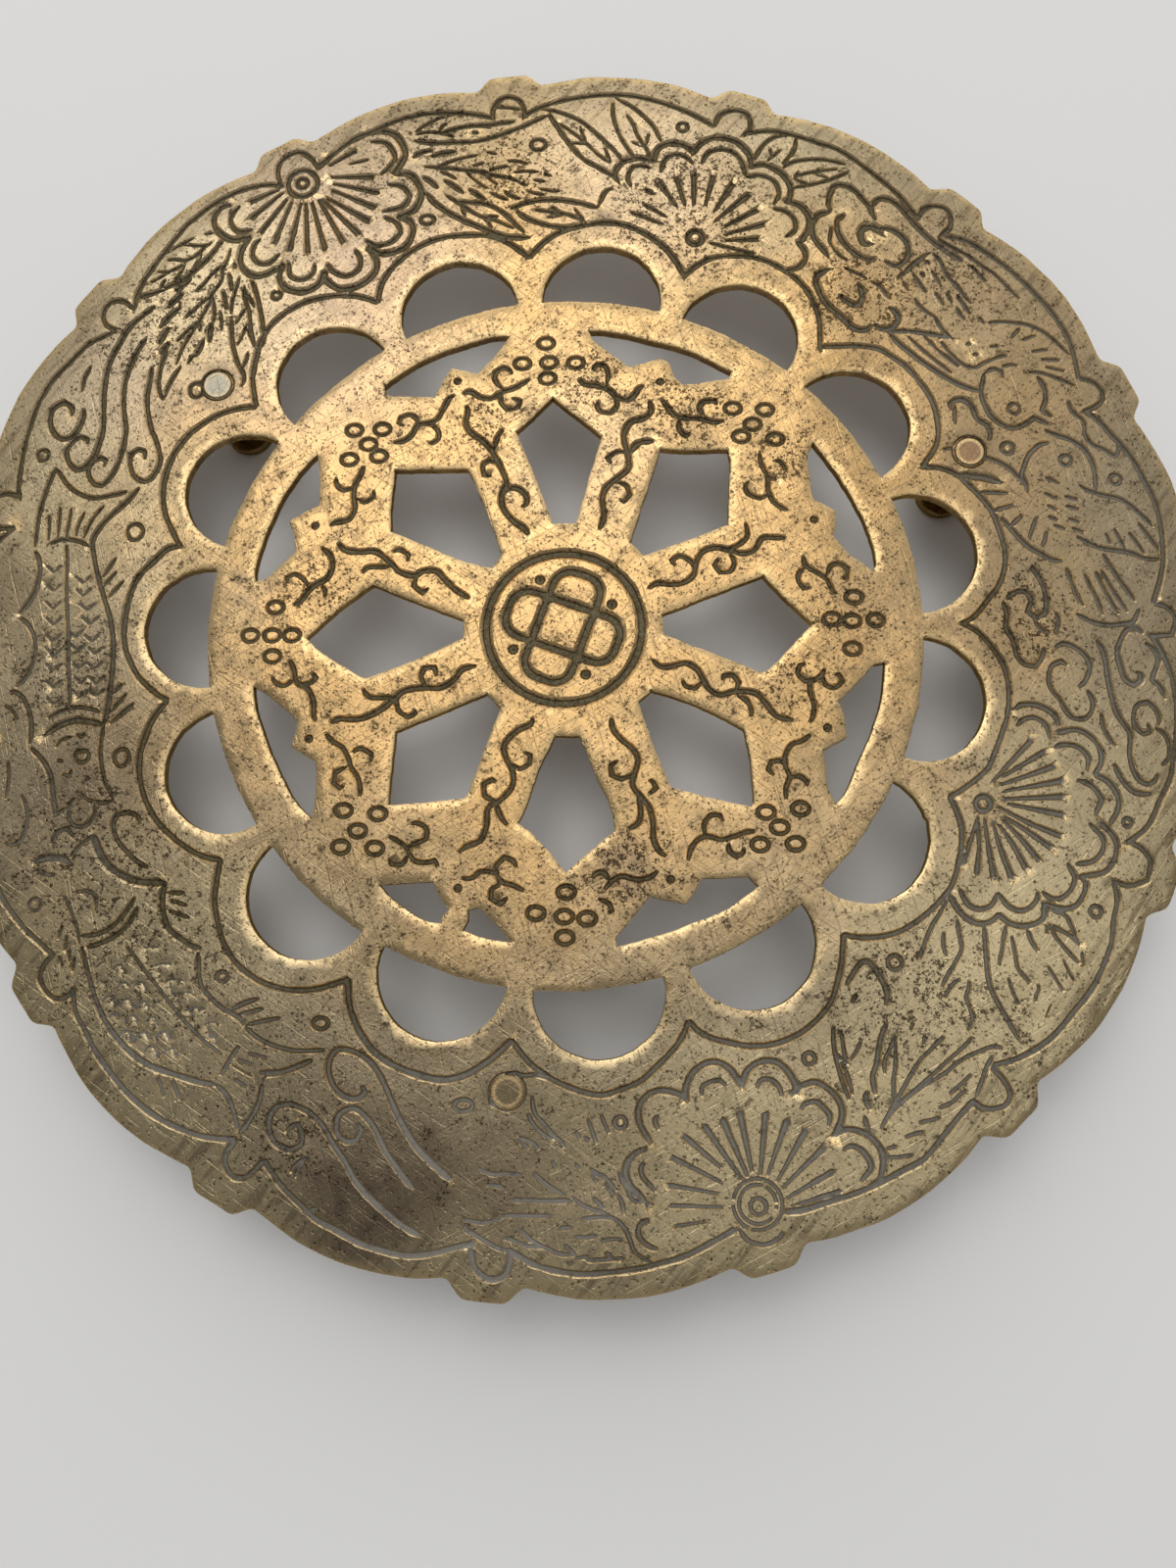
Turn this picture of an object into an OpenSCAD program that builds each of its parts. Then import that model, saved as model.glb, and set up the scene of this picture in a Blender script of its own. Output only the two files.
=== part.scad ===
// Pierced and engraved brass trivet: a thin round plate with a lobed rim, carried by three riveted turned feet.
// The origin is on the table under the middle of the plate. +Z is up and +Y points away from the viewer.

/* [Overall] */
// Height of the plate's top face above the table
top_h = 16; // [14:0.5:24]
// Thickness of the plate
plate_t = 1.6; // [1.2:0.1:3]

/* [Rim] */
// Distance from the axis to the crest of each lobe
crest_r = 95.3; // [93:0.1:105]
// Number of lobes, each with one knob beside it and one arched opening below it
lobe_count = 15; // [14:1:16]
// Radius of the arc that makes each lobe
lobe_r = 36.6; // [33:0.2:42]
// Direction of the first lobe, clockwise from +Y
lobe_angle = 6.3; // [0:0.1:24]
// How far the knobs stand out past the crests of the lobes
knob_rise = 0.8; // [0.4:0.1:2]
// Width of a knob across its top
knob_w = 8.4; // [5:0.1:9.5]
// Angle by which a knob's sides open towards the rim
knob_flank = 40; // [20:1:50]
// Radius of the two top corners of a knob
knob_corner_r = 1.4; // [0.8:0.1:2]
// Width of the sloping border outside the rim line
bevel_w = 6; // [3:0.2:8]
// How far the border has dropped at the crest of a lobe
bevel_drop = 0.4; // [0.1:0.05:0.8]

/* [Arched openings] */
// Width of the engraved band, from the crests of the lobes in to the plain ring
band_w = 41.5; // [36:0.1:46]
// Width of the plain ring on which the arches stand
ring_w = 5.5; // [4:0.1:7]
// Width of the metal left between two arches
arch_web_w = 3.7; // [2.4:0.1:6]
// How far the centre of an arch lies outside the ring
arch_lift = 0.4; // [0:0.1:2]

/* [Inner field] */
// Number of kite windows and of segment openings
window_count = 8; // [7:1:8]
// Direction of the first kite window, clockwise from +Y
window_angle = -1.4; // [-22:0.1:22]
// Width of the spokes between the kite windows
spoke_w = 8.8; // [6:0.1:10.5]
// Distance from the plain ring in to the outer point of a kite window
kite_point_inset = 10.5; // [8:0.1:13]
// Width of an arm of the star where it joins the plain ring
arm_w = 13.2; // [9:0.1:16]
// Distance from the plain ring in to the foot of the pointed tab in a segment opening
tab_inset = 5.2; // [4:0.1:6.5]
// Width of the tab at its foot
tab_w = 7.8; // [5:0.1:10]
// How far the tab's point stands out from its foot
tab_rise = 2.8; // [1:0.1:3.6]

/* [Engraving] */
// Width of the main engraved lines
line_w = 1; // [0.6:0.05:1.4]
// Depth of the engraving
line_depth = 0.35; // [0.15:0.05:0.6]
// Distance from the crest of a lobe in to the rim line
rim_line_inset = 4.3; // [3.6:0.1:6]
// Radius of the small loop that the rim line makes under each knob
loop_r = 2.8; // [2:0.1:3.4]
// Width of the plain band between an arch and the scalloped line round it
arch_band_w = 3.9; // [3.2:0.1:4.6]
// Radius of the ring round the middle field
medallion_r = 12.6; // [11:0.1:14]
// Distance from the ring round the middle field to the blunt inner ends of the kite windows
medallion_margin = 3.1; // [1.5:0.1:4]
// Distance from the plain ring in to the middle of a cluster of berries
berry_inset = 5.2; // [4.6:0.1:6]
// Distance between the middle berry and the two in line with it towards the rim and the middle
berry_pitch = 3.1; // [2.8:0.1:3.4]
// Distance between the middle berry and the two on either side of it
berry_spread = 4; // [3.4:0.1:4.3]
// Outer radius of a berry's ring
berry_r = 1.5; // [1.2:0.05:1.5]
// Radius of the dot punched in each tab
tab_dot_r = 0.65; // [0.4:0.05:1]
// Distance from the foot of a tab in to its dot
tab_dot_inset = 0.7; // [0:0.1:1.5]

/* [Feet] */
// Distance from the plain ring out to the middle of each foot
foot_offset = 14.2; // [12.5:0.1:20]
// Diameter of the collar under the plate
collar_d = 10; // [8:0.2:14]
// Height of the collar
collar_h = 1.5; // [1:0.1:2.5]
// Diameter of the neck above and below the ball
neck_d = 5.2; // [4:0.1:6.5]
// Diameter of the ball
ball_d = 8.6; // [7:0.1:9.4]
// Diameter of the pad that stands on the table
pad_d = 8; // [7:0.1:14]
// Height of the pad
pad_h = 1.6; // [1:0.1:2.4]
// Diameter of the tenon that goes through the plate
tenon_d = 3.6; // [2.4:0.1:4]
// Diameter of the riveted head of the tenon
head_d = 4.6; // [4.2:0.1:6]
// Depth of the riveted head
head_h = 0.7; // [0.4:0.05:1]

/* [Hidden] */
$fn = 96;
// Running gap between a tenon and its hole
tenon_gap = 0.04;
// How far a cut runs past the surface that it opens
overrun = 1;
// How far the riveted heads stay below the plate's top
head_sink = 0.04;
// Distance between neighbouring lobes, and between neighbouring windows
lobe_step = 360 / lobe_count;
window_step = 360 / window_count;
// The three feet stand evenly round the plate, each under the valley between two lobes
foot_step = 360 / 3;
foot_angle = lobe_angle + foot_step / 2;
foot_turn_shares = [0, 1, 2];
// Where the arcs of the lobes have their centres
lobe_centre_r = crest_r - lobe_r;
knob_top_r = crest_r + knob_rise;
// Distance from the axis to the valley between two lobes
valley_r = lobe_centre_r * cos(lobe_step / 2)
    + sqrt(pow(lobe_r, 2) - pow(lobe_centre_r * sin(lobe_step / 2), 2));
// How far a knob's block reaches in past the valley
knob_overlap = 1;
// The corner rounds of a knob stand this far proud of its straight sides
knob_crease = 0.05;
ring_outer_r = crest_r - band_w;
ring_inner_r = ring_outer_r - ring_w;
foot_pitch_r = ring_outer_r + foot_offset;
arch_centre_r = ring_outer_r + arch_lift;
// Neighbouring arches leave the web between them
arch_r = arch_centre_r * sin(lobe_step / 2) - arch_web_w / 2;
scallop_r = arch_r + arch_band_w;
// A kite window's widest place lies this share of the way out from its blunt end to its point
kite_shoulder_share = 0.65;
kite_end_r = medallion_r + medallion_margin;
kite_point_r = ring_inner_r - kite_point_inset;
kite_shoulder_r = kite_end_r + kite_shoulder_share * (kite_point_r - kite_end_r);
// The knob's loop is centred where the rim lines of two lobes run in
loop_centre_r = crest_r - rim_line_inset - 0.5 * loop_r;
// Half the angle that a segment opening spans on the ring
segment_half_angle = window_step / 2 - asin(arm_w / 2 / ring_inner_r);
segment_end_x = ring_inner_r * sin(segment_half_angle);
segment_end_r = ring_inner_r * cos(segment_half_angle);
tab_foot_r = ring_inner_r - tab_inset;
tab_point_r = tab_foot_r + tab_rise;
foot_h = top_h - plate_t;
// Rounding of the edges of pad and collar
collar_round_r = collar_h / 3;
pad_round_r = pad_h / 3;
// The ball sits half way up the turned stem
ball_z = (pad_h + foot_h - collar_h) / 2;

// Turns its children clockwise from +Y and moves them out to radius r
module at(angle, r) {
    rotate(-angle) translate([0, r]) children();
}

// Repeats its children round the axis
module repeated(count, first) {
    for (i = [0 : count - 1]) rotate(-first - i * 360 / count) children();
}

// Lobed disc whose arcs lie this far inside the rim
module lobed_disc(inset) {
    union() {
        circle(r = lobe_centre_r);
        repeated(lobe_count, lobe_angle) translate([0, lobe_centre_r]) circle(r = lobe_r - inset);
    }
}

// Knob on +Y, a low block with two rounded corners
module knob() {
    corner_x = knob_w / 2 - knob_corner_r;
    corner_y = knob_top_r - knob_corner_r;
    side_x = knob_w / 2 - knob_crease;
    base_y = valley_r - knob_overlap;
    base_x = side_x + (corner_y - base_y) * tan(knob_flank);
    union() {
        for (side = [-1, 1]) translate([side * corner_x, corner_y]) circle(r = knob_corner_r);
        polygon([
            [-corner_x, knob_top_r - knob_crease], [corner_x, knob_top_r - knob_crease],
            [side_x, corner_y], [base_x, base_y], [-base_x, base_y], [-side_x, corner_y]
        ]);
    }
}

// Solid plate with its lobes and knobs, before anything is cut out of it
module blank() {
    union() {
        linear_extrude(plate_t) lobed_disc(0);
        linear_extrude(plate_t) repeated(lobe_count, lobe_angle + lobe_step / 2) knob();
    }
}

// Half-round opening on +Y, which stands on the ring
module arch() {
    difference() {
        translate([0, arch_centre_r]) circle(r = arch_r);
        circle(r = ring_outer_r);
    }
}

// Half the width of a kite window at radius r, between spokes whose sides are parallel
function kite_half_w(r) = (r * sin(window_step / 2) - spoke_w / 2) / cos(window_step / 2);

// Kite window on +Y with a blunt inner end
module kite() {
    shoulder_x = kite_half_w(kite_shoulder_r);
    end_x = kite_half_w(kite_end_r);
    polygon([
        [0, kite_point_r], [shoulder_x, kite_shoulder_r], [end_x, kite_end_r],
        [-end_x, kite_end_r], [-shoulder_x, kite_shoulder_r]
    ]);
}

// Opening on +Y between the ring and the star, with a pointed tab in its inner side
module segment() {
    intersection() {
        circle(r = ring_inner_r);
        polygon([
            [-segment_end_x, segment_end_r], [-tab_w / 2, tab_foot_r], [0, tab_point_r],
            [tab_w / 2, tab_foot_r], [segment_end_x, segment_end_r],
            [segment_end_x, ring_outer_r], [-segment_end_x, ring_outer_r]
        ]);
    }
}

module openings() {
    repeated(lobe_count, lobe_angle) arch();
    repeated(window_count, window_angle) kite();
    repeated(window_count, window_angle + window_step / 2) segment();
}

// Rim line, with a loop under each knob
module rim_line_disc(widen) {
    union() {
        lobed_disc(rim_line_inset - widen);
        repeated(lobe_count, lobe_angle + lobe_step / 2)
            translate([0, loop_centre_r]) circle(r = loop_r + widen);
    }
}

module rim_line() {
    difference() {
        rim_line_disc(line_w / 2);
        rim_line_disc(-line_w / 2);
    }
}

// Scalloped line round the row of arches
module scallop_disc(widen) {
    union() {
        circle(r = arch_centre_r);
        repeated(lobe_count, lobe_angle) translate([0, arch_centre_r]) circle(r = scallop_r + widen);
    }
}

module scallop_line() {
    difference() {
        scallop_disc(line_w / 2);
        scallop_disc(-line_w / 2);
    }
}

module ring_line(r, w) {
    difference() {
        circle(r = r);
        circle(r = r - w);
    }
}

// One berry in the middle and four round it
module berries() {
    translate([0, ring_inner_r - berry_inset]) {
        ring_line(berry_r, berry_r / 2);
        for (side = [-1, 1]) {
            translate([side * berry_spread, 0]) ring_line(berry_r, berry_r / 2);
            translate([0, side * berry_pitch]) ring_line(berry_r, berry_r / 2);
        }
    }
}

module engraving() {
    rim_line();
    scallop_line();
    ring_line(medallion_r + line_w / 2, line_w);
    repeated(window_count, window_angle) berries();
    repeated(window_count, window_angle + window_step / 2)
        translate([0, tab_foot_r - tab_dot_inset]) circle(r = tab_dot_r);
}

// Shallow cone that takes the border down towards the rim
module border_slope() {
    inner_r = crest_r - bevel_w;
    run = bevel_w + knob_rise + overrun;
    drop = bevel_drop * run / bevel_w;
    rotate_extrude()
        polygon([[inner_r, 0], [inner_r + run, -drop], [inner_r + run, overrun], [inner_r, overrun]]);
}

// Countersunk hole for one tenon, from the plate's top down
module tenon_hole() {
    translate([0, 0, -plate_t - overrun]) cylinder(d = tenon_d + 2 * tenon_gap, h = plate_t + 2 * overrun);
    translate([0, 0, -head_h])
        cylinder(d1 = tenon_d + 2 * tenon_gap, d2 = head_d + 2 * tenon_gap, h = head_h);
}

module plate() {
    color("#a8873c")
        difference() {
            translate([0, 0, top_h - plate_t]) blank();
            translate([0, 0, top_h - plate_t - overrun]) linear_extrude(plate_t + 2 * overrun) openings();
            translate([0, 0, top_h - line_depth]) linear_extrude(line_depth + overrun) engraving();
            translate([0, 0, top_h]) border_slope();
            for (i = foot_turn_shares)
                at(foot_angle + i * foot_step, foot_pitch_r) translate([0, 0, top_h]) tenon_hole();
        }
}

// Half section of a turned disc from the axis out, with a rounded edge
module disc_section(d, h, round_r) {
    union() {
        square([d / 2 - round_r, h]);
        translate([0, round_r]) square([d / 2, h - 2 * round_r]);
        for (y = [round_r, h - round_r]) translate([d / 2 - round_r, y]) circle(r = round_r);
    }
}

// Turned foot with its collar under the plate and its tenon riveted over in the countersink
module foot() {
    head_top = top_h - head_sink;
    color("#9c7a36")
        union() {
            rotate_extrude() disc_section(pad_d, pad_h, pad_round_r);
            cylinder(d = neck_d, h = foot_h);
            translate([0, 0, ball_z]) sphere(d = ball_d);
            translate([0, 0, foot_h - collar_h])
                rotate_extrude() disc_section(collar_d, collar_h, collar_round_r);
            cylinder(d = tenon_d, h = head_top);
            translate([0, 0, top_h - head_h - head_sink]) cylinder(d1 = tenon_d, d2 = head_d, h = head_h);
        }
}

module foot_right() { at(foot_angle, foot_pitch_r) foot(); }
module foot_front() { at(foot_angle + foot_step, foot_pitch_r) foot(); }
module foot_left() { at(foot_angle + 2 * foot_step, foot_pitch_r) foot(); }

plate();
foot_left();
foot_right();
foot_front();
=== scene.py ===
import math

import bmesh
import bpy
import numpy as np
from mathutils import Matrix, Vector
from mathutils.geometry import delaunay_2d_cdt
from mathutils.kdtree import KDTree


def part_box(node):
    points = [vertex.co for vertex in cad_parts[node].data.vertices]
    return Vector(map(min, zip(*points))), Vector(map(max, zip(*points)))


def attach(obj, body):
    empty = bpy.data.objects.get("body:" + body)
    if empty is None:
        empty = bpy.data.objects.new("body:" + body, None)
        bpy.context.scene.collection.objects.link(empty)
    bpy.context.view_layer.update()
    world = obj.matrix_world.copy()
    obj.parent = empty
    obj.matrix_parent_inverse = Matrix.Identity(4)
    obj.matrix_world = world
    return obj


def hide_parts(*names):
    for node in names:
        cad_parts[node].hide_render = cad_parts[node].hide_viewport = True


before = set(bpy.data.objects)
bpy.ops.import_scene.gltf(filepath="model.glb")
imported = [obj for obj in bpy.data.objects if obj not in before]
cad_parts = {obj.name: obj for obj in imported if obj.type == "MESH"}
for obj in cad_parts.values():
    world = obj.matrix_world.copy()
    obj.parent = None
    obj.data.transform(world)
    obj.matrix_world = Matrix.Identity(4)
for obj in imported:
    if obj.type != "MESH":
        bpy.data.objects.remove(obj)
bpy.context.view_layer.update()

# Sizes are millimetres until the meshes are made, and x, y run from the middle of the plate
MM = 0.001
SEED = 7
# Added to the seed, so that each use has draws of its own
SAW_SALT = 20
WALL_SALT = 60
FILE_SALT = 500
STROKE_SALT = 1000

# Plate
TOP_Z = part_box("plate")[1].z / MM
PLATE_T = TOP_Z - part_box("plate")[0].z / MM
LOBES = 15
LOBE_STEP = 360 / LOBES
LOBE_ANGLE = 6.3
CREST_R = 95.3
LOBE_R = 36.6
LOBE_CENTRE_R = CREST_R - LOBE_R
KNOB_TOP_R = 95.9
KNOB_HALF_W = 4.15
KNOB_SHOULDER_R = 94.7
KNOB_FLANK = 40
RIM_JITTER = 0.22
RIM_WAVES = 90
BORDER_START_R = 89.3
BORDER_DROP = 0.4
BORDER_W = 6.0
SURFACE_DIP = 0.02
RIPPLE = 0.014

# Arched openings
RING_R = 53.8
ARCH_CENTRE_R = 54.2
ARCH_R = 9.42
ARCH_OVERRUN = 0.1
ARC_POINTS = 60
ARCH_FOOT_POINTS = 30

# Sawn edges and walls of the openings
SAW_MARK = 0.09
SAW_GRAIN = 0.25
WAVE_KINDS = 12
LEAST_WAVES = 8
POINTS_PER_WAVE = 5
ANY_PHASE = 6.3
WALL_INSET = 0.04
WALL_BULGE = 0.05

# Rivet heads
HEAD_HOLE_R = 2.34
HEAD_HOLE_POINTS = 40
HEAD_DEPTH = 0.7
HEAD_RING_R = 2.8
HEAD_RING_W = 0.4
FOOT_R = 68.0
FOOT_ANGLES = (66.3, 186.3, 306.3)

# Mesh spacing
CURVE_PARTS = 8
EDGE_STEP = 0.6
GROOVE_STEP = 0.42
GRID_STEP = 1.15
GRID_JITTER = 0.15
TRIANGLE_H = 0.866
ROWS_TO_COLUMNS = 1.16
UNDER_STEP = 5.0
UNDER_GAP = 1.5
MIN_GAP = 0.17
GRID_GAP = 0.62
SIEVE_CELL = 0.3
LEAST_RING_POINTS = 10
EDGE_ROUND = 0.24
EDGE_ROUND_GAP_SHARE = 0.85
EDGE_DROP = 0.13
SHARP_ANGLE = 32
INSIDE_WITH_HOLES = 2
SAME_POINT = 1e-5

# Engraving
GROOVE_DEPTH = 0.38
DEPTH_WIDTHS = (0.3, 1.4)
WALL_SHARE = 0.65
LEAST_CUT = 0.06
FLAT_BED_HALF_W = 0.3
TAPER_LEN = 1.3
TAPER_SHARE = 0.28
TAPER_END = 0.38
TAPER_CURVE = 0.7
WIDTH_JITTER = 0.1
JITTER_BLEND = (0.3, 0.4, 0.3)
WIDTH_SCALE = 1.14
STROKE_CORNER = 58
OPENING_CORNER = 26

# Each line is one stroke: its width in mm, then its points. a>b is a width that changes from a to b, = in
# front keeps the ends blunt, and o is a ring given by its middle and its two radii. A line that starts with
# blanks goes on from the line before.
RIM_LINES = """
=1.05 -69,56 -68.3,57.7 -67.3,60 -65.3,63.3 -62,68.3 -60,70.3 -57.7,72.3 -55,74 -52,75.2 -48.7,75.7
    -46.3,75.5
=1.05 -40.3,79.3 -37,82 -34.5,84.2 -32,85.2 -30,86.2 -27,87.5 -23.3,88.3 -19.3,88.5 -15.3,88 -12.2,87.3
=1.0 -11.9,87.3 -11.8,89 -10.6,90.8 -9,91.2 -7.4,90.3 -6.7,88.6 -6.7,87.3
=1.0 -6.7,87.3 -5,88.5 -1,90.1 4,91 8,91.2 12,90.7 17,89 21,87 24.4,84.8
=1.0 24.4,84.8 25.3,86.8 27,87.7 29,87.6 30.3,86.2 30.2,84 29.5,83.3
=1.0 30.1,83.4 33.7,83.7 37,83 41,81.5 45,79.7 50,75.3 53.5,71.7 55.5,68.8 56.7,67.3
=1.0 56.7,67.3 57.3,68.7 58.7,69.5 60.7,69.3 61.7,68 61.7,66 60.3,64.3
=1.0 61,64 63.7,63.3 66.7,61.3 69.7,58.7 71.7,56.7 73.7,54.3 76,51.3 77.7,48.3 78.7,46 79.3,43.7
    79.8,39.3
=1.0 80,39.2 81.7,38.7 83,37.3 83.2,35.7 82,34.5 80.3,33.7
=1.0 80.3,33.7 82,32.3 83.7,30 85.3,28 87,25.3 88.3,22.3 89.3,19.7 90,16.7 90.2,13.3 90,9.7 89.3,6.7 88,3
=1.0 88,2.8 89.7,2.3 91,0.5 90.3,-2 87.3,-2.2
=1.0 87.3,-2.3 88.3,-4.3 89.3,-7.3 89.8,-10 89.8,-15 88.7,-21 88,-23.7 86.3,-26.7 85,-29.3 83.7,-31
    81.3,-32.8
=1.0 81.3,-32.8 83,-33.7 84.2,-35.7 83.5,-38.3 81,-39 78.7,-38.5
=1.0 78.7,-38.7 79,-41 78.3,-43.7 77.7,-47 76.3,-50.3 74.3,-53.7 72,-56.3 69.3,-59.3 66.7,-61.3 63.3,-63
    60.3,-63.8
=1.0 60,-64.3 61.3,-65.7 62.2,-67.7 61.3,-69.3 58.7,-69.7 57,-68.7
=1.0 57,-68.7 55,-70.7 52.7,-73.3 50,-76.3 46.7,-78 43.3,-79.7 40,-81 36.7,-82 33.3,-83 31,-83.3
=1.0 23.7,-85.7 20.7,-87.3 17.3,-89 14,-90 10.7,-90.8 6.7,-91.3 2.3,-91.5 -3,-90.5 -7,-88.5
=1.0 -6.8,-88.8 -6.8,-90 -7.5,-91.7 -9,-92.3 -10.3,-92 -11.7,-90.7 -12.2,-88.6
=1.0 -12.2,-87.7 -15,-88.3 -17.7,-89 -21,-89.3 -24.3,-88.7 -27.7,-87.7 -31,-86 -33.7,-84.7 -35.7,-83
    -38.3,-80.7 -40,-78.7 -41.3,-77
=1.0 -41.3,-77 -42.3,-78 -43.7,-79.2 -45.5,-79.2 -46.7,-77.7 -46.7,-76 -45.7,-74.6
=1.0 -45.7,-74.2 -50,-73.8 -53.3,-72.8 -56.7,-71.3 -59.7,-69.3 -62.3,-67 -64.7,-64.3 -66.7,-61.7
    -68.3,-59 -69.7,-56.7 -70.2,-54
=1.0 -70,-53.5 -71.3,-54.7 -73,-54.8 -74.7,-53.3 -75.3,-51.7 -74.8,-50 -73.7,-48.8
=1.0 -73.7,-48.7 -75.3,-47.3 -77.3,-45.7 -79.7,-43.3 -81.8,-40.7 -82.5,-39.5 -84.5,-35.5 -85.6,-31
    -86,-27 -85.4,-22
=1.0 -85.5,-20.8 -87.7,-21.5 -89.8,-20.8 -90.6,-18.6 -89.5,-16.2 -87,-15.6 -84.9,-17.2
=1.0 -84.9,-17.2 -86.5,-15 -89.2,-10 -90.8,-4 -91,3 -89.8,9.5 -87.5,14.5 -85.3,16.8
=1.0 -85.3,16.7 -88,16.7 -89.8,17.6 -90.4,19.6 -89.3,21.6 -87,22.4 -84.9,21.8
=1.05 -85,22 -85.3,23.3 -85.2,27.3 -84.8,31.3 -83.7,36.7 -82.8,39 -81.7,41.3 -79.7,43.7 -77.7,46 -76,47.8
    -73.7,49 -72.3,49.8
=1.0 -72.3,50.2 -73.3,50.8 -74.2,52.2 -74,53.8 -73.2,55 -71.7,55.3 -70.3,54.7 -69.2,53.7 -69,56
0.8 -11.6,89.2 -9.5,89.1 -7,88.6
"""
SCALLOPS = """
=1.1 -48.5,36.5 -49.2,40 -49.3,42 -48.9,45 -48.3,47.7 -47.3,49.7 -45.3,52 -42,54.2 -38.7,55.2 -35.3,55.5
    -32.7,55.2 -29.8,54.2
=1.1 -29.8,54.2 -29.5,56.7 -28.3,59.3 -26,62 -22.7,64.3 -19.3,65.5 -15.3,65.8 -12,65.6 -9,64.3 -5.6,61.7
=1.1 -5.6,61.7 -3,64.5 0,66.3 5,67.5 9,67.3 13,65.5 16.5,62.5 19.2,58.1
=1.0 19,57.8 20.7,59.3 23,60.7 25.3,61.2 28.7,61.2 30.7,60.8 33.3,59.7 36,57.8 38,55.7 39.3,53.3
    40.2,50.3 40.3,47.7 40.2,45
=1.0 40.2,45.3 43.3,45.3 46,45.3 49.3,44.7 51.3,43.3 53.3,41.7 55,39.5 57,36 57.8,32 57.3,28.5 55,25
=1.0 55,25 57.7,24.7 60,23.7 62,21.7 64,19.3 65.3,17 66.3,13.3 66.7,10.7 66.3,8 65.3,5.7 63.7,3.7
    61.7,1.3 59.7,0
=1.0 59.7,0 61.7,-1.3 63.7,-3.7 65.3,-6.7 65.8,-10 65.5,-13.3 64.7,-16 63,-20 61.7,-22.3 58.7,-24.7
    56.3,-26.2
=1.0 56.3,-26.2 57,-28 57.7,-31 57.2,-35 55.5,-39.5 52,-43 48,-45.5 44,-46.3 40.2,-46
=1.0 40.2,-46 39.7,-50 39,-52.7 38,-55.3 36,-57.7 33.3,-59.7 30,-61 26.7,-61.3 23.3,-60.8 20,-59.7 18,-58
=1.0 18,-58 16.7,-60.7 14.3,-63.3 11.3,-66 8.3,-67.3 5,-68 0,-66.5 -3.7,-64.3 -5.3,-62.7 -7,-60.7
=1.2 -7,-60.7 -10,-63.3 -13.3,-65.3 -16.7,-66 -20.3,-65.3 -23.7,-64 -26.3,-62.3 -28.3,-60 -29.5,-57.7
    -30.3,-55.3 -30.5,-52.2
=1.1 -30.5,-52.2 -32.3,-52.8 -35,-53.5 -38.3,-53.7 -42,-52.9 -44.3,-51.8 -46.7,-50 -48.7,-47.3
    -49.8,-44.3 -50.5,-41 -50.3,-37.7 -50,-35
=1.1 -50.2,-35 -52.5,-34.5 -55,-33.3 -57.7,-31.3 -60,-29 -61.8,-26 -62.8,-22.7 -63,-19.5 -62.3,-16.3
    -61.3,-13.7 -59.5,-11.1
=1.1 -59.5,-11 -62,-9.3 -64.3,-7 -66,-4 -66.8,-1 -66.8,2 -66.3,5.3 -65.2,8.5 -63,11 -61,13 -59.2,13.5
=1.1 -59.2,13.5 -60.7,16.3 -61.8,18.7 -62.3,21.3 -62.3,24 -61.7,26.7 -60.8,29 -59.2,31.5 -56.7,33.7
    -54,35.3 -51,36.2 -48.5,36.5
"""
FLOWER_TOP_LEFT = """
o1.0 -42.9,75.8 2.9,2.9
o0.9 -42.9,75.8 1.3,1.3
=1.3 -40,79.2 -38,81.3 -35.3,83.5 -31.5,85.2 -28,84.5 -26.2,81 -27.8,77.4
=1.3 -27.5,77.4 -25.2,77 -23.6,74.8 -23.4,72.8 -24.4,70.6 -26,69.8
=1.3 -27,69.6 -25,68.5 -24.6,66.3 -25.8,63.9 -29,62.8 -31.8,63.9
=1.3 -31.8,64 -30.4,62 -30.5,59.5 -33,57.2 -36,56.7 -38.3,58.3 -38.7,59.8
=1.3 -38.7,59.8 -39.5,57.5 -42,56.3 -44.8,57 -46,59 -45.6,61.2
=1.3 -45.6,61.2 -48,59.5 -50.5,59.4 -52.4,61.5 -52.3,64 -51.2,66.2
=1.3 -51.2,66.3 -54,65.8 -56.5,67.5 -57.3,69.8 -56.2,71.8 -55,72.3
1.0 -32.2,83.3 -29.5,83 -28,81 -28.3,79 -30.2,77
1.0 -29,75.3 -26.5,74.9 -25.2,73.2 -26.2,71.3 -29.8,70.3
1.0 -29.5,69.5 -27.2,68.3 -26.5,66.5 -28,64.8 -30.5,64.3 -32.4,65.4
1.0 -33.9,63.8 -32.9,62 -33.2,60 -35,58.9 -37.2,59.8 -38.4,61.5
1.0 -40.2,61.3 -40.6,59.3 -42.4,58.4 -44.2,59.3 -44.5,61.8
1.0 -45.9,63.2 -47.5,61.6 -49.3,61.5 -50.5,63 -50.2,64.8 -49.2,65.9
1.0 -50.5,67.6 -53,67.3 -54.4,69 -54,70.8 -52.9,71.9
=0.65>1.2 -38.5,79 -34.5,81.6
0.4>1.0 -36,79 -32,80
=0.65>1.2 -38,76.8 -31.5,76.8
=0.65>1.2 -37.8,75.6 -30.5,73.9
=0.65>1.2 -37.9,74.4 -31,71.2
=0.65>1.2 -38.7,73 -32,68.9
=0.65>1.2 -39.5,72.8 -33.5,66.6
=0.65>1.2 -40,72.6 -35.9,65.2
=0.65>1.2 -41.2,72.3 -38.8,64
=0.65>1.2 -42.2,72.2 -41.6,63.5
=0.65>1.2 -43,72.2 -44.5,64
=0.65>1.2 -44.5,72.5 -47,65.2
=0.65>1.2 -45.3,72.9 -49.2,67.2
=0.65>1.2 -46.2,74 -50.9,69.8
=0.65>1.2 -46.8,74.7 -51.2,72.7
=1.0 -46.8,76.3 -47.2,78.5 -46.2,80.7 -44,81.8 -42,80.7 -40.5,78.9
"""
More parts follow.
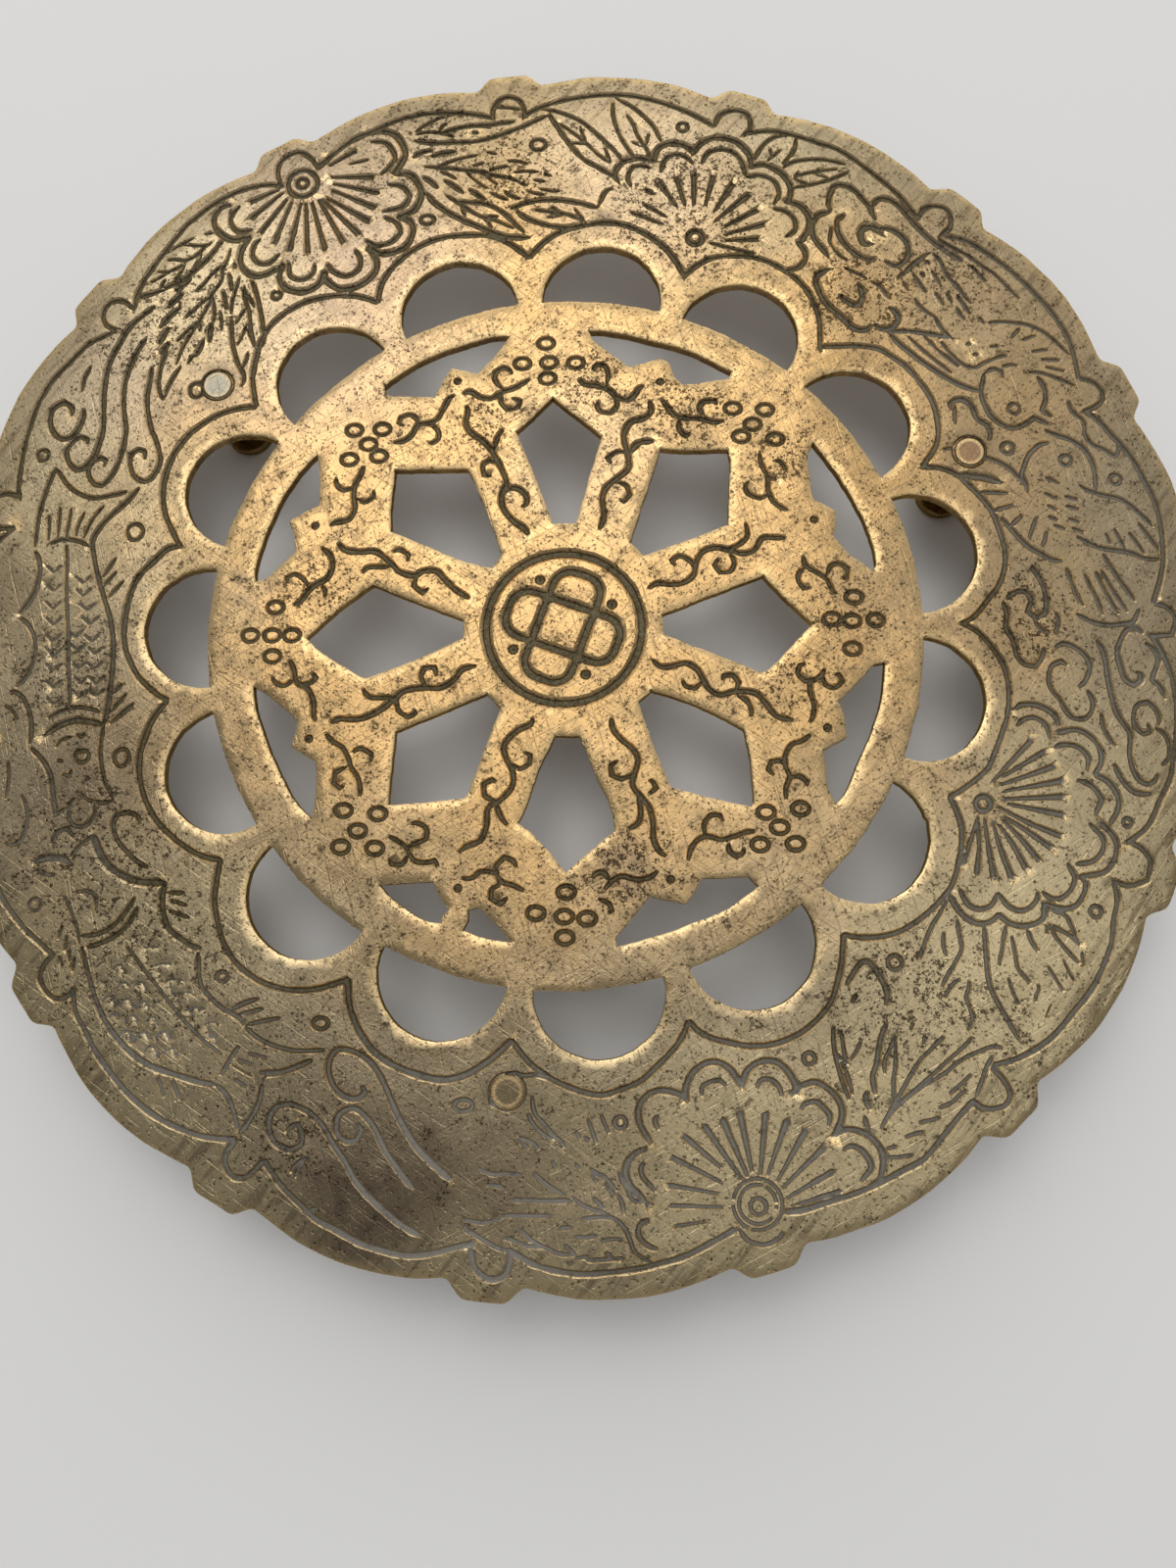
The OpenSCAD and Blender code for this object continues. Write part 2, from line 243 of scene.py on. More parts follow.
FEATHERS_TOP = """
0.9 -25,83.3 -22,82.8 -18.7,82.8 -14,83 -8,85 -2.8,87.5
0.7 -24.7,84.3 -22.7,84.8 -20.3,84.5 -18,83.8
0.7 -24.7,84.8 -22.7,86.3 -20.3,87.5 -18,88
0.7 -20.6,85 -20,86 -19.2,86.5
0.9 -20,84.8 -17.3,85.5 -15.3,85.8 -12,86 -8,86.5
0.65 -15.5,84.7 -14,84.4
0.55 -14,85.7 -11.5,85.2
1.0 -25,80 -23.7,81 -21.5,81.5
1.0 -22,80.2 -20,80.8 -17.7,81.2
0.7 -20.8,78.4 -17.3,79.7 -14,80.4
0.8 -23.3,78.5 -20.7,78.2 -18.7,78 -16.7,77.7 -13.3,77.2 -12,76.7 -9,76 -7,75.2
1.0 -23.3,76.7 -22,75.8 -20.5,74.3
1.0 -19.8,76 -18.3,75 -16.3,73.3
1.0 -15.7,74.3 -14.3,73.2 -12.7,72
0.7 -16.2,77.3 -14.5,75.7 -12.7,74.2
0.7 -13.3,77.1 -12,75.8 -10.5,74.5
0.8 -12.2,73.5 -10.5,72.6 -9,72
0.8 -10,73.8 -8.5,72.7 -7,72.1
0.7 -8,76 -7,75 -6,74.5
0.7 -20.5,77.6 -18.5,76.6 -17.5,75.9
0.7 -12.5,77.5 -10.5,78 -9,78.2
0.7 -15.2,78.3 -13,79
0.7 -13,81 -11,80.4
0.7 -9.5,79.2 -7.5,79 -5.8,78.4
0.7 -8.5,77 -6.5,77.2 -4,77
0.7 -4.3,74 -2,73.5 -0.5,73.5
0.7 -5.2,75.6 -3,75.2
0.7 -3.5,76.7 -2,76.2
0.7 -6.3,73.8 -5,73.2 -3,72.8
1.1 -22.5,73.7 -21.3,72 -19.3,70.3 -16.7,68.7 -13,66.9 -10,65.6 -7,65.2 -5.5,65.2
0.9 -18,72 -15,71.7 -12.5,71.3 -10,69.8 -8,67.8 -6.3,65.9
0.8 -19.5,73.3 -17,71.5 -15,70 -13,68.9 -11,68.3 -8,66.8
0.65 -13,69.2 -10.5,69.1
0.65 -13,68.9 -11.5,66.9
0.7 -16.8,71 -16,69.3
"""
LEAVES_TOP = """
0.9 -2.8,88 -1.5,85.8 0.5,82.5 3,79.3 6,77.3 8.5,75.5
0.8 -3.8,88.7 -1,88 2.5,86.3 5.5,83.5 8,80.8 9.5,78.7
0.7 -1,86 1.5,84 3.6,82 5.5,80 7.6,78.2
0.65 2.5,85.2 3.6,82
0.65 1,82.3 3.6,82
0.65 6.3,82 7.6,78.2
0.8 7.9,90 8,87 9,83.5 10.3,81 11.5,79.1
0.8 8.5,90.4 11,88.7 13.3,86.5 14.8,84.5 15.8,82
0.7 10,87.5 11.2,85.5 12,83.2 13.4,80.8 14.2,78.6
0.65 11.9,85.2 11.2,85.5
0.65 13.8,84 13.3,81.5
0.65 10.8,82.3 13,81.2
1.0 -8.8,70.4 -5.5,71.6 -1.5,71.9 2.5,71.2 5.5,70.2
1.0 -8,70.2 -6,68.6 -3,67.4 0,66.9 3,67.5
0.8 -5,70.2 -2.5,69.8 0.5,69.2 3.3,67.9
0.7 -2.3,70.8 -0.3,69.3
0.7 -3,68.7 0,69.2
0.7 1.5,70.5 3.3,67.8
0.8 30.8,78.3 31.7,80.3 33.3,82 35.3,82.8 37,82.8
0.8 37.7,82.3 37.3,80.3 36.3,78.7 35.2,77.5
0.7 32.8,78 33.7,79 35.3,80.3
0.65 33.3,80.7 33.7,79
0.8 35.3,76.7 36.7,77.8 40,78.3 43,78 45.7,77.2
0.8 36.8,73.2 39.7,73.7 42.7,74.5 46.2,76
0.7 36.7,75 38,75.5 41.3,76.2 44.8,76.5
0.65 38,76.3 37.3,75.2
0.65 41.5,76.8 40.7,76.2
0.65 42.7,74.8 40.3,75.8
0.65 39.7,73.7 37,74.8
"""
FLOWER_TOP_RIGHT = """
o1.1 21,64.6 1.7,1.7
0.7 23,63.7 26,62.8 30.8,61.5
1.2 8.8,74.8 8.2,76.6 9.4,78.5 11.5,79.2 13.2,79 14.4,78.5
=1.2 14.5,78.6 15.2,80.8 17,81.8 19.5,81.4 21,80.1
=1.2 21,80.2 22.5,81.9 25,82.7 28,81.8 30,79.5 30.3,77.6
=1.2 30.2,77.3 32.5,77.5 35,76 36.5,73.5 36.2,71.2 35.8,70.8
=1.2 35.8,70.9 38,69.9 39.3,67.8 39,65.5 38,63.9
1.1 37,64 38.5,61.5 37.5,59.2 35,58.5
0.9 10.8,73.8 10.3,76 11.2,77.7 12.8,77.8 14,77.2
0.9 15.6,76.3 16.2,78.5 17.8,79.7 19.6,79.3 21,77.8
0.9 22.2,77.8 23.2,79.7 25.2,80.5 27.5,79.8 28.9,77.8 29.2,75.5
0.9 29.3,75.2 31.5,75.6 33.7,74.6 34.6,72.6 34,70.8 33.5,70.2
0.9 33.3,69.6 35.5,69 37,67.3 36.8,65.5 35.2,64.3
=0.65>1.2 18,70.4 15.3,74.8
=0.65>1.2 19.4,70.6 18.2,75.7
=0.65>1.2 20.9,70.6 21,76
=0.65>1.2 22.8,70.6 24.1,75.8
=0.65>1.2 24.3,69.4 27.2,74.2
=0.65>1.2 24.4,67.6 29.7,72.2
=0.65>1.2 26,66.6 31,69.4
=0.65>1.2 26.2,65.2 32,66.8
=0.65>1.2 26,64 31,64.2
0.5>1.0 16.5,66.8 10.5,69.5
0.5>1.0 17,68 12.5,71
1.0 13,73.5 14.5,72.5
0.9 5.5,70.5 6.5,73 8,74
"""
CLOUDS = """
1.1 42.8,68.8 42.5,70.2 42.7,71.8 43.4,73.2 44.4,73.6 45.8,73.2 47,72.2 48,70.8 48.8,69.8 49.4,68.4
    49.8,67
1.1 49.5,68 49.4,69.4 50,70.6 51.2,71 52.4,70.6 53.6,69.6 54.6,68.2 55.6,66.8 56.8,65.2 57.8,64 59.2,62.6
    60.6,61.6 62,60.4 63.2,59.4
1.2 42.8,68.7 41.6,68.6 40.4,68 39.8,66.6 39.8,64.8 40.4,63.4 41.4,62 42,60.8
0.7 42.8,66.8 42.6,65.2 42.4,63.6 43,62.2 44,60.8 45.4,60
1.1 45,68.6 44.6,68 43.8,67.4 43.7,66 44,64.6 44.8,63 46,61.6 47.4,60.6 48.8,60.2 49.8,60.6
1.1 50.8,60 52,59.2 53.2,59.2 54.4,60.2 54.8,61.6 54.6,63 53.8,64.2 52.6,65.2 51.6,65.6 50.4,65.8
1.6 50.8,64.4 50.2,65.4 49.2,66 48,66 47.4,65 47.6,63.6 48.2,63 49,62.9
1.2 42.2,58.6 41.4,58.4 40.2,57.6 40,56.4 40.4,55 41,53.4 42,52 43.2,50.8 44.2,49.8 45.2,48.6 46.6,48
    47.8,48.2 48.4,48.8
1.2 48.8,48.8 49.8,48.2 51.2,48.2 52.2,49 52.6,50 52,51.2 51,51.8
1.2 43.4,54.2 44.2,53.4 45.6,52.4 46.6,52.4 47.2,53.8 47,55.2 46.4,56.2
0.7 44.4,58.8 46,58 47.4,57.2 48,56.4
0.8 48.4,56.4 49.8,55.6 50.8,54.2 51.6,53
1.1 59.8,34 59.8,35.3 61,36 62.3,35.7 63.3,34.3 63.8,32.7 65.2,31.7 65.7,30.3 65.2,29
0.8 60.5,35 60.3,31.7
0.7 58.2,27.7 59.7,28
1.0 67.7,5 69.3,4.7 70,3.3 69.3,1.7 70.7,0.7 72,1.7 72.2,4 71.7,6.3 70.3,9
1.0 65.7,3.3 66.3,1.3 66,-0.7 67,-3 67.3,-5 68.3,-6.3 70,-6.7 71,-5.3 71.3,-3.7
0.8 66.2,3.6 67.4,4.6 68.4,4.9
0.8 70,0.7 71.3,-1.3 72.7,-1.3
0.8 73.3,1.7 73.7,0 73,-2
0.9 72.7,-4 74.3,-3.3 76,-4 77.3,-5.3 77.8,-7 77,-9 75.7,-10
0.9 74.7,-6.7 73.7,-6 72.3,-6.7 71.7,-8.7 72,-10.3 73,-11.7 73.7,-13.3 74.7,-14.5 76.3,-14.7 77.5,-13.7
    77.8,-12 77,-10.3
"""
BIRD_UPPER = """
0.9 50.7,47.5 53.3,47.7 57,47.2 60.5,46.4
1.0 51,47.3 52.7,45.3 56,42.3 59,40 61.7,38.3 64.7,37.2
0.7 53.8,46.8 56.7,43.7 60.5,40.2
0.7 56.3,46.8 59,43.7 62,41
0.7 58.7,46.2 60.3,43.7 62.3,41.7 64,41.3 65.3,42 67.7,43 69.7,43.3
1.0 65.3,40.2 65,38.8 64.7,37 65.2,34.7 66.3,32.7 68.3,31.3 70,31.3 71.7,32.2 72.5,32.8 74.7,31.5
1.0 73.3,39.7 74.3,38 74.5,36 73.8,34 75.3,32.7
0.8 65.3,40.2 66.7,41 68,40.5 68,39.3
0.7 68,41.3 69.7,41.7 70.7,41.3
0.7 66.3,44.7 68,45
0.7 62.7,45 63.7,45.7
0.7 63.7,43.3 64.7,43.7
o0.7 69.5,34.3 1.2,1.2
0.7 66,48.7 68,49 70.3,48.8 72.7,48.3 75,47 77,45 78.7,43
0.65 69.7,46 71.3,48
0.65 71.3,45.7 74,46.8
0.65 72.3,43.7 76,44.3
0.65 73.7,42.5 77.7,42.3
0.65 74.3,41.3 78.3,40.3
0.7 72,40.3 74,40.2 77,39 79.3,37.8
0.8 58,61.2 56.6,60.2 55.2,59 54.4,58.2 53.4,57.4 52.6,56.6
0.7 58,61.2 59,60.6 59.8,59.2 60.2,58 61,56.4 62,55.4 62.6,54.2 63.4,53 64.2,52
0.7 57.2,60 58,59
0.7 58.2,58 59,56.4 59.4,55.4
0.8 56.4,58 57,56.8
0.7 55,58 55.6,56.8 56.4,55.4 57.4,53.8
0.65 53.4,56.4 54,55.4 54.4,54.4
0.7 58.4,54.4 59.2,53 60,51.6
0.7 60.2,54.2 60.8,53 61,52.4
0.8 61.8,53.8 62.6,52.4 63.8,50.2
0.65 61.6,51.8 62.2,50.4 63,49.2
0.7 55.2,53.4 55.8,52.2 56.8,51 58.2,50 58.8,48.6 59.8,47.2 60.6,46.4
0.65 65,50 65.8,48.6
0.7 59.4,64 60,63.2 61.4,62.2 63,61.2 64.6,60 66.4,58.4 68,57.2 70.3,54.3 71.7,52.7
0.65 63.4,59.2 64.6,58.4 66,56.6 67,55.6
"""
LEAVES_RIGHT = """
0.9 63.7,26.7 66.3,25.7 68.3,24.3 70,22
1.4 60.5,23.7 62.7,23.3 64.7,23 66.7,22.2
0.8 63.3,20.7 68,20.5
0.8 65,17.6 67,18.2 68.6,18.8
0.8 67.5,15 69.7,17.1
0.7 70.2,13 71,15 71.7,16.7
0.7 72,11.7 72.7,13 73,14.5
0.8 77.7,35.7 78.3,33.7 79.7,32.3 80,31 80,29.7 80.8,28.3 82.7,27.3 84,26.2 84.7,26.7 84.8,28
"""
BIRD_LOWER = """
0.9 73.8,30.7 75.7,29.8 77.7,29 79.7,27.3 80.7,25 81,22.3 80.7,20.5
0.9 74.7,28.7 73,28.3 71.3,26.7 70.2,24.3 70,23.3 70.5,21.7 70.5,20.3
o0.7 76.7,25.7 1.2,1.2
0.8 78.3,21.7 79.7,20.7 81.7,20 84.3,19.3 86.3,17.7 89,14.7
0.7 73.3,23 75.8,21.8
0.7 73,20.5 75.3,19.2
0.7 76,19.8 78.3,19.3
0.7 73.3,18.5 75,17.5
0.7 76,18.3 78.3,17.7
0.7 73.3,16.7 75,15.9
0.7 76.3,16.3 78.3,15.6
0.7 74,15.3 76,14.5
0.7 76.7,14.8 78.7,14
0.9 66.3,16.7 68.3,14 70,12 72,10.7 73.7,9.7 75.3,9.7
0.8 77.3,13.4 78,13 80.3,11.7 82.7,11.2 85.3,10.7 87.3,9.8 89.7,9.7
0.7 75.3,9 76,6.7 76.7,4 77.7,2.3
0.7 78,7.7 78.7,5.7 79.7,3.3 80.3,0.9
0.7 79.6,8.3 80.7,5.3 82,2.3 82.9,0.7
0.7 80.5,8.2 82,5 84,1.3
0.8 81,10.7 82.7,7.3 85.3,3
0.9 76.3,1.3 78.7,0 81,-0.5 83.3,-0.3 84.7,0 85.7,2
0.65 81.7,14 82.3,12
0.65 83,14.6 84.3,11.4
0.7 84.9,14.4 87.3,10.4
0.7 86.6,15.6 89.6,10.8
"""
SCROLLS_RIGHT = """
1.0 79,-2.7 80,-5 80.3,-8.7 80.7,-12 81.3,-14.3 82.7,-16.7 82.8,-18 82.5,-20.3 83,-23 84.3,-24.3 85.7,-24
    86.3,-22.7
0.8 78.8,-13.7 79,-16 79.7,-17.7 80.7,-19
1.0 80,-21.3 81,-23.7 82.3,-25.3 83.7,-25.8 85.3,-25.7
1.0 84.2,-7.7 85,-8 85,-9 84,-9.7 82.7,-8.7 82.2,-6.7 82,-4.7 82.7,-2.7 83.7,-1.3 85,-1 86,-2
0.9 86,-3.3 87.3,-4.3 87.8,-6 87,-8 86.7,-9 87.7,-10 88.3,-12
0.9 85.3,-15.3 85.7,-16.7 84.7,-17 83.7,-16 83.5,-14.3 84.3,-12.7 85.7,-12.3 86.7,-13.3 87.2,-15
    86.7,-15.9
0.9 86.3,-16.1 87.7,-17 88.3,-18.7 88,-20.7 86.7,-21.7
"""
FLOWER_RIGHT = """
o1.1 61,-27.2 1.6,1.6
1.0 66.2,-13.3 67.7,-12.5 70,-12.7 72,-14 72.8,-16
=1.0 72.7,-16.7 75,-16.3 77,-17.3 78.3,-19.3 78.3,-21.3 77.3,-23
=1.0 77.3,-23 79,-24 80.2,-26 80.2,-28 79,-30
=1.0 77.8,-30.3 79.3,-32.3 79.3,-34.7 77.7,-37 74.3,-37.7
=1.0 74.3,-37.7 74.7,-39.3 73.3,-41.7 71.3,-42.3 69,-41.7
=1.0 68.7,-41.7 68.3,-43.7 66,-44.7 63.7,-44.3 62.2,-43.2
=1.0 62.2,-43.2 60.7,-44.2 58.7,-44.2 56.7,-42.7 55.3,-40.3
0.9 66.3,-15.8 67.7,-14.7 69.3,-14.5 70.8,-15.7 71.3,-18
0.9 71.5,-19 73.3,-18.5 75.3,-19 76.5,-20.7 76,-22.7
0.9 74.5,-23.7 76.7,-24.7 78,-26.7 76.7,-29.2
0.9 75.7,-30 77.5,-32 77.5,-34 76,-35.5 73.3,-36
0.9 72.2,-35.7 73.2,-37.7 72.8,-39.3 71.3,-40.7 69.7,-40.8 68.3,-39.8
0.9 67.8,-39.7 67.5,-41.3 65.7,-42.5 63.7,-42 62.2,-40
0.9 62.2,-40 61.3,-41.7 59.7,-42.3 58,-41.7 56.7,-39.3
=0.5>1.1 62.7,-23.7 68.3,-18.1
=0.5>1.1 64,-23.2 70,-19.7
=0.5>1.1 64,-24.3 71.3,-21.8
=0.5>1.1 64.3,-25.3 72,-24
=0.5>1.1 64.3,-26.5 72,-26.2
=0.5>1.1 64.3,-27.2 72,-28.8
=0.5>1.1 63.3,-27.8 67.3,-30 71.5,-31.8
=0.5>1.1 64,-29.2 66.7,-31 69.8,-33.3
=0.5>1.1 63.7,-29.7 66,-32.3 68.3,-35.3
=0.5>1.1 63,-30.3 64.7,-33 66.3,-36.3
=0.5>1.1 62.2,-30.3 63,-33.7 64.2,-37.5
=0.5>1.1 61,-29.7 61.3,-33.3 61.8,-37.5
=0.5>1.1 60,-29.7 60,-33.3 59.5,-37.3
=0.5>1.1 60,-29.3 58.7,-33 57.7,-35.7
"""
LEAVES_LOWER_RIGHT = """
0.8 60,-44.3 60,-48.3 60.1,-52 60.6,-54 61.8,-56.5 64,-60.7
0.7 63,-44.5 62.5,-47 61.6,-50.4
0.65 63.6,-45.6 64,-48.1 64.3,-50.6 65.4,-52 66.1,-53.2
0.55 66.7,-52.3 67,-53.4 66.4,-54.8 66.8,-55.7
0.8 66,-45 66.4,-46.7 67.4,-48.4
0.55 68.2,-49.8 69.3,-51.8 70.7,-54.3
0.55 68.8,-44 68.6,-46.4
0.65 69.1,-44.6 70,-46.4 71.3,-48.1 73.3,-50.4
0.7 69.1,-44.5 70.7,-45.3 72.1,-46.2 73.3,-47.6
0.7 69.2,-42.5 71.3,-43.1 72.1,-44.5 72.7,-46.4 73.3,-47.6
0.55 73.3,-48.2 73.5,-50.6
0.5 70.6,-49.2 71.4,-51.2 72.1,-52.6
0.5 62.6,-51 63.4,-54 64.6,-56.6
0.5 68.6,-55.4 67.6,-57.6
0.7 55.3,-40.8 53.9,-42.8 52.5,-45 51.1,-48.1 50.4,-49.8
0.7 56.2,-43.6 56.4,-45.6 56.6,-47.9 55.6,-49.8 54.2,-52 53.4,-53.4
0.65 54.3,-45 54.1,-47.3 54.5,-49.2
0.65 56.6,-51.8 55.3,-52.6 54.2,-54 53.6,-55.1
0.7 57.4,-51.8 57.3,-53.4 56.9,-54.6 57.3,-56 57.6,-57.6 56.6,-59.3
0.7 53.9,-59.6 51.7,-61.6 50,-63.2 48.6,-65.2 47.2,-67.5 45.8,-69.7 44,-72.6
0.65 57.6,-59.6 56.2,-61.3 53.9,-63.2 50.6,-66 48,-68 46.1,-69.7
0.7 61.8,-61.6 60.4,-61.3 58.7,-61.8 55.6,-63.2 53.4,-64.9 49.4,-67.2 46.4,-69.6 44.4,-71.9
0.8 60.1,-62.4 59,-64.4 58.1,-66.6 57.3,-68.3
0.65 57.3,-64.6 55.9,-66 53.4,-68
0.65 56.7,-66.9 55.3,-67.7 53.9,-68.9 51.7,-69.7
0.65 52.8,-70.5 51.4,-71.1 48.9,-71.6
0.65 50.6,-72.6 48.9,-73 46.9,-73.6
0.65 46.4,-74.6 44.7,-75
0.65 48.9,-75.6 46.6,-76.1 44.4,-76.1
1.0 40.1,-53.2 41,-51.8 42.4,-49.9 43.6,-49.8 44.7,-51.2 45.8,-53.4 45.9,-54.8 45.5,-56
0.7 40.8,-55.7 41.6,-54
0.7 38.2,-58 38.2,-61.6 39.1,-65.8 40.2,-69.1
0.65 38.5,-62.1 39.4,-63.8 40.1,-66 40.5,-68
0.65 39.1,-58.5 39.4,-60.7 39.6,-62.4 40.1,-64.4
0.65 42,-60.4 41.2,-62.1 40.2,-63.2
0.9 45.7,-57.9 45,-59.6 44.4,-61.6 44,-63.8 43.4,-65.5 43.7,-68
0.7 47.1,-59.3 46.1,-61.3 45.2,-63.2 45,-65.2
0.65 46.6,-59.6 46.6,-63.8 46.2,-65.8 46.1,-69.7
0.55 49.4,-57.9 48.7,-59.3
0.55 50.8,-59.6 50.6,-61.3
0.9 42.7,-67.2 42.3,-68.3 42.9,-70
0.7 41.9,-70.5 42.3,-71.9 42.7,-73
"""
FLOWER_BOTTOM = """
o0.65 27.1,-82.6 1.4,1.4
o0.5 27,-82.3 2.8,2.8
o0.5 27,-82.3 3.6,3.6
0.7 24.2,-85.3 25.6,-87 27.8,-87.6 29.8,-86.7 30.6,-85.3
1.0 12.3,-84.2 11,-85.1 10.7,-86.2 11.3,-87.3 12.4,-88 13.5,-88.2
1.1 12.1,-75 10.4,-75.8 9.3,-77 9,-78.4 9.6,-80 11,-81.4 11.8,-82.3
0.8 11.6,-76.7 11.1,-77.8 11.4,-78.9 12.4,-80 13.2,-80.9
1.1 12.7,-74.7 11.6,-73 10.9,-71.4 10.9,-69.7 11.8,-68.3 13.5,-67.4 15.8,-67.6 17.2,-68.3 18,-69.1
0.8 13.7,-72.8 13.1,-71.4 13.7,-70.5
=1.1 17.4,-68.4 17.4,-67.2 18.3,-65.2 20,-63.8 21.9,-63.5 23.6,-64.4 25,-66.3
0.7 19.7,-68.3 19.7,-66.9 20.8,-66.2 22.2,-66 23.3,-66.9
=1.1 25.3,-66.4 26.1,-64.6 27.8,-63.5 29.8,-63.4 31.4,-64.4 32.6,-66.3 32.8,-67.4
0.8 27.2,-67.2 27.8,-66 28.9,-65.8 30,-66.3 30.6,-67.4 30.6,-68.3
=1.1 32.3,-67.6 33.7,-66.6 35.4,-66.2 37,-66.9 38.4,-68.3 39,-70 38.7,-71.6 38,-73.1
0.9 33.1,-70 34,-69.1 35.4,-68.8 36.6,-69.7 37.3,-70.8 36.9,-72.2
=1.1 37.9,-73 39.6,-72.5 41.5,-72.8 43.2,-73.9 44.3,-75.6 44.3,-77.2 43.8,-78.9 42.6,-79.9
0.9 38.7,-75.3 40.1,-74.7 41.5,-75.3 42.5,-76.7 42.5,-77.8 41.5,-78.9 41,-79.5
=0.4>0.6 20.8,-84.4 16,-85.2
=0.4>0.8 22.8,-82.7 15.2,-82.6
=0.4>0.9 22.6,-81.1 15.2,-80
=0.4>1.0 22.8,-79.8 15.6,-76.4
=0.4>1.0 23.3,-78.5 17.4,-73.7
=0.5>1.1 24.9,-79 20,-72.2
=0.5>1.2 25.7,-78.6 22.5,-71.3
=0.5>1.1 26.4,-78.3 24.9,-70.4
=0.5>1.1 27.5,-78.3 28.4,-70.4
=0.5>1.1 28.6,-78.1 31.3,-71.5
=0.5>1.2 30,-78.9 33.7,-73
=0.5>1.2 30.6,-80 36.1,-75.1
=0.5>1.1 31.2,-81.4 37.3,-78.1
=0.5>1.0 31.6,-82.5 38.2,-80.7
"""
LEAVES_BOTTOM = """
0.65 -6,-73.6 -4.8,-74 -3.6,-74.6 -2.8,-75.8
0.55 -6,-73.6 -5.2,-74.5 -4,-75.5
0.7 -4.8,-70 -4,-71.6 -3,-72.8 -1.8,-73.6 -1,-74
0.7 -4,-68 -3.6,-70.4 -2,-72.2 -1,-73.4 0.2,-74.4 0.6,-75.6
0.55 2,-72.6 2.8,-74
0.55 3.6,-70.6 5.2,-75
0.55 3.2,-73.4 4.2,-74.4
0.55 5.4,-70 6.2,-72 7,-73.6
0.55 2,-77 2.8,-78
0.55 -1.4,-76.3 -0.4,-78
0.7 4,-77.6 5.2,-78.6 6,-78.8 7,-79.8 7.8,-80.8
0.55 4.2,-78.4 5.2,-79.8
0.65 6.2,-79.8 7.2,-81 7.8,-81.4
0.7 8,-78 8.6,-79.6 9.4,-80.8 10.2,-82 12,-82.2
0.7 7.8,-81 8.4,-82 8.8,-83.8
0.7 1.6,-81.4 2.8,-82.4 4,-83 5.6,-83.4 6.6,-83.8
0.65 4.2,-81.2 5.2,-82.2 6.2,-83.2
0.7 -4,-78 -3,-79 -2,-79.8 -0.4,-80.8 1,-81.4
0.65 -12,-77.4 -11,-78 -9.4,-78.6 -7.6,-78.5 -4.8,-78.7
0.65 -10.2,-80 -8.4,-80.2 -7.4,-81
0.8 -7,-82 -4,-82 -2,-82.1 1.8,-82
0.7 -8.6,-84.2 -7,-84 -4,-84 -1,-84
0.7 -13.8,-84.4 -12,-84.8 -10.2,-84.9 -8,-84.4
0.8 -13.6,-85 -12.6,-86 -10.8,-87 -9,-88 -7.2,-88.6
0.65 -8.2,-86.8 -6.4,-87.2 -4.8,-87.8 -2.4,-88.2
0.7 -5.8,-85.6 -4.8,-86.4 -3.6,-87.4 -2.2,-88 -0.8,-88.7 0.6,-89 2,-89
0.65 0.4,-87.6 1.4,-88.4 2.2,-89.2
0.7 2,-89.5 3.6,-89.3 4.2,-89.7 9.4,-89.4
0.55 0.8,-90.4 2,-89.8
0.7 1.8,-86.6 3.6,-86.8 5.2,-86.4
0.7 -0.2,-85.6 1.8,-85.5
0.7 5.4,-87.4 7,-87 8.8,-87
0.65 6,-88.6 7.4,-89.4
0.7 2.6,-84.4 6.2,-84.1 7.8,-84.6 9,-85.8 9.6,-87.2 10.2,-88.6 11.6,-89.6 13,-90
0.8 -8.7,-66 -6.7,-65.1 -5.3,-65.4 -3.7,-65.3 -1.7,-65.7 0.7,-66.7
"""
CURLS_BOTTOM = """
1.1 -28,-66.7 -27.5,-67.7 -28.3,-68.5 -30,-68.5 -31.7,-67.3 -32.7,-65.3 -32.7,-63.3 -31.7,-62 -30,-62
    -28,-62.8 -26.3,-64.3 -25,-66.3 -23.7,-69 -22.3,-71.7 -20.3,-74.7 -18.3,-76.7 -15,-79.5
1.0 -28.7,-71.7 -27.8,-72.8 -28.5,-74.2 -30,-74.3 -31.2,-73.2 -31.3,-71.3 -30.3,-70.2 -28.7,-70 -27,-71.3
    -25.7,-73 -24.3,-75.7 -22.3,-78.3 -20.3,-80.7
1.0 -37,-71.8 -36.2,-73.3 -36.2,-74.8 -37.7,-75.5 -39.7,-74.7 -40.8,-73 -40.8,-71 -39.7,-69.7 -37.7,-69.5
    -35.3,-70.5 -33.3,-72.3 -31.7,-74.7 -30,-77 -28.3,-79.7 -25.7,-82.3 -22.3,-85 -19,-86.8
0.8 -38.5,-73.3 -37.8,-72.5 -36.3,-71.8
0.7 -37.7,-79 -37,-77.7 -35.7,-76.8 -34.3,-76.8
0.7 -36.8,-79.3 -36.5,-78.2 -35.5,-77
0.7 -35,-83.5 -33.2,-83.2
0.8 -33.2,-62 -35.7,-62.1 -38.3,-62 -41.3,-61.2 -43.3,-60.2 -45,-58.7
"""
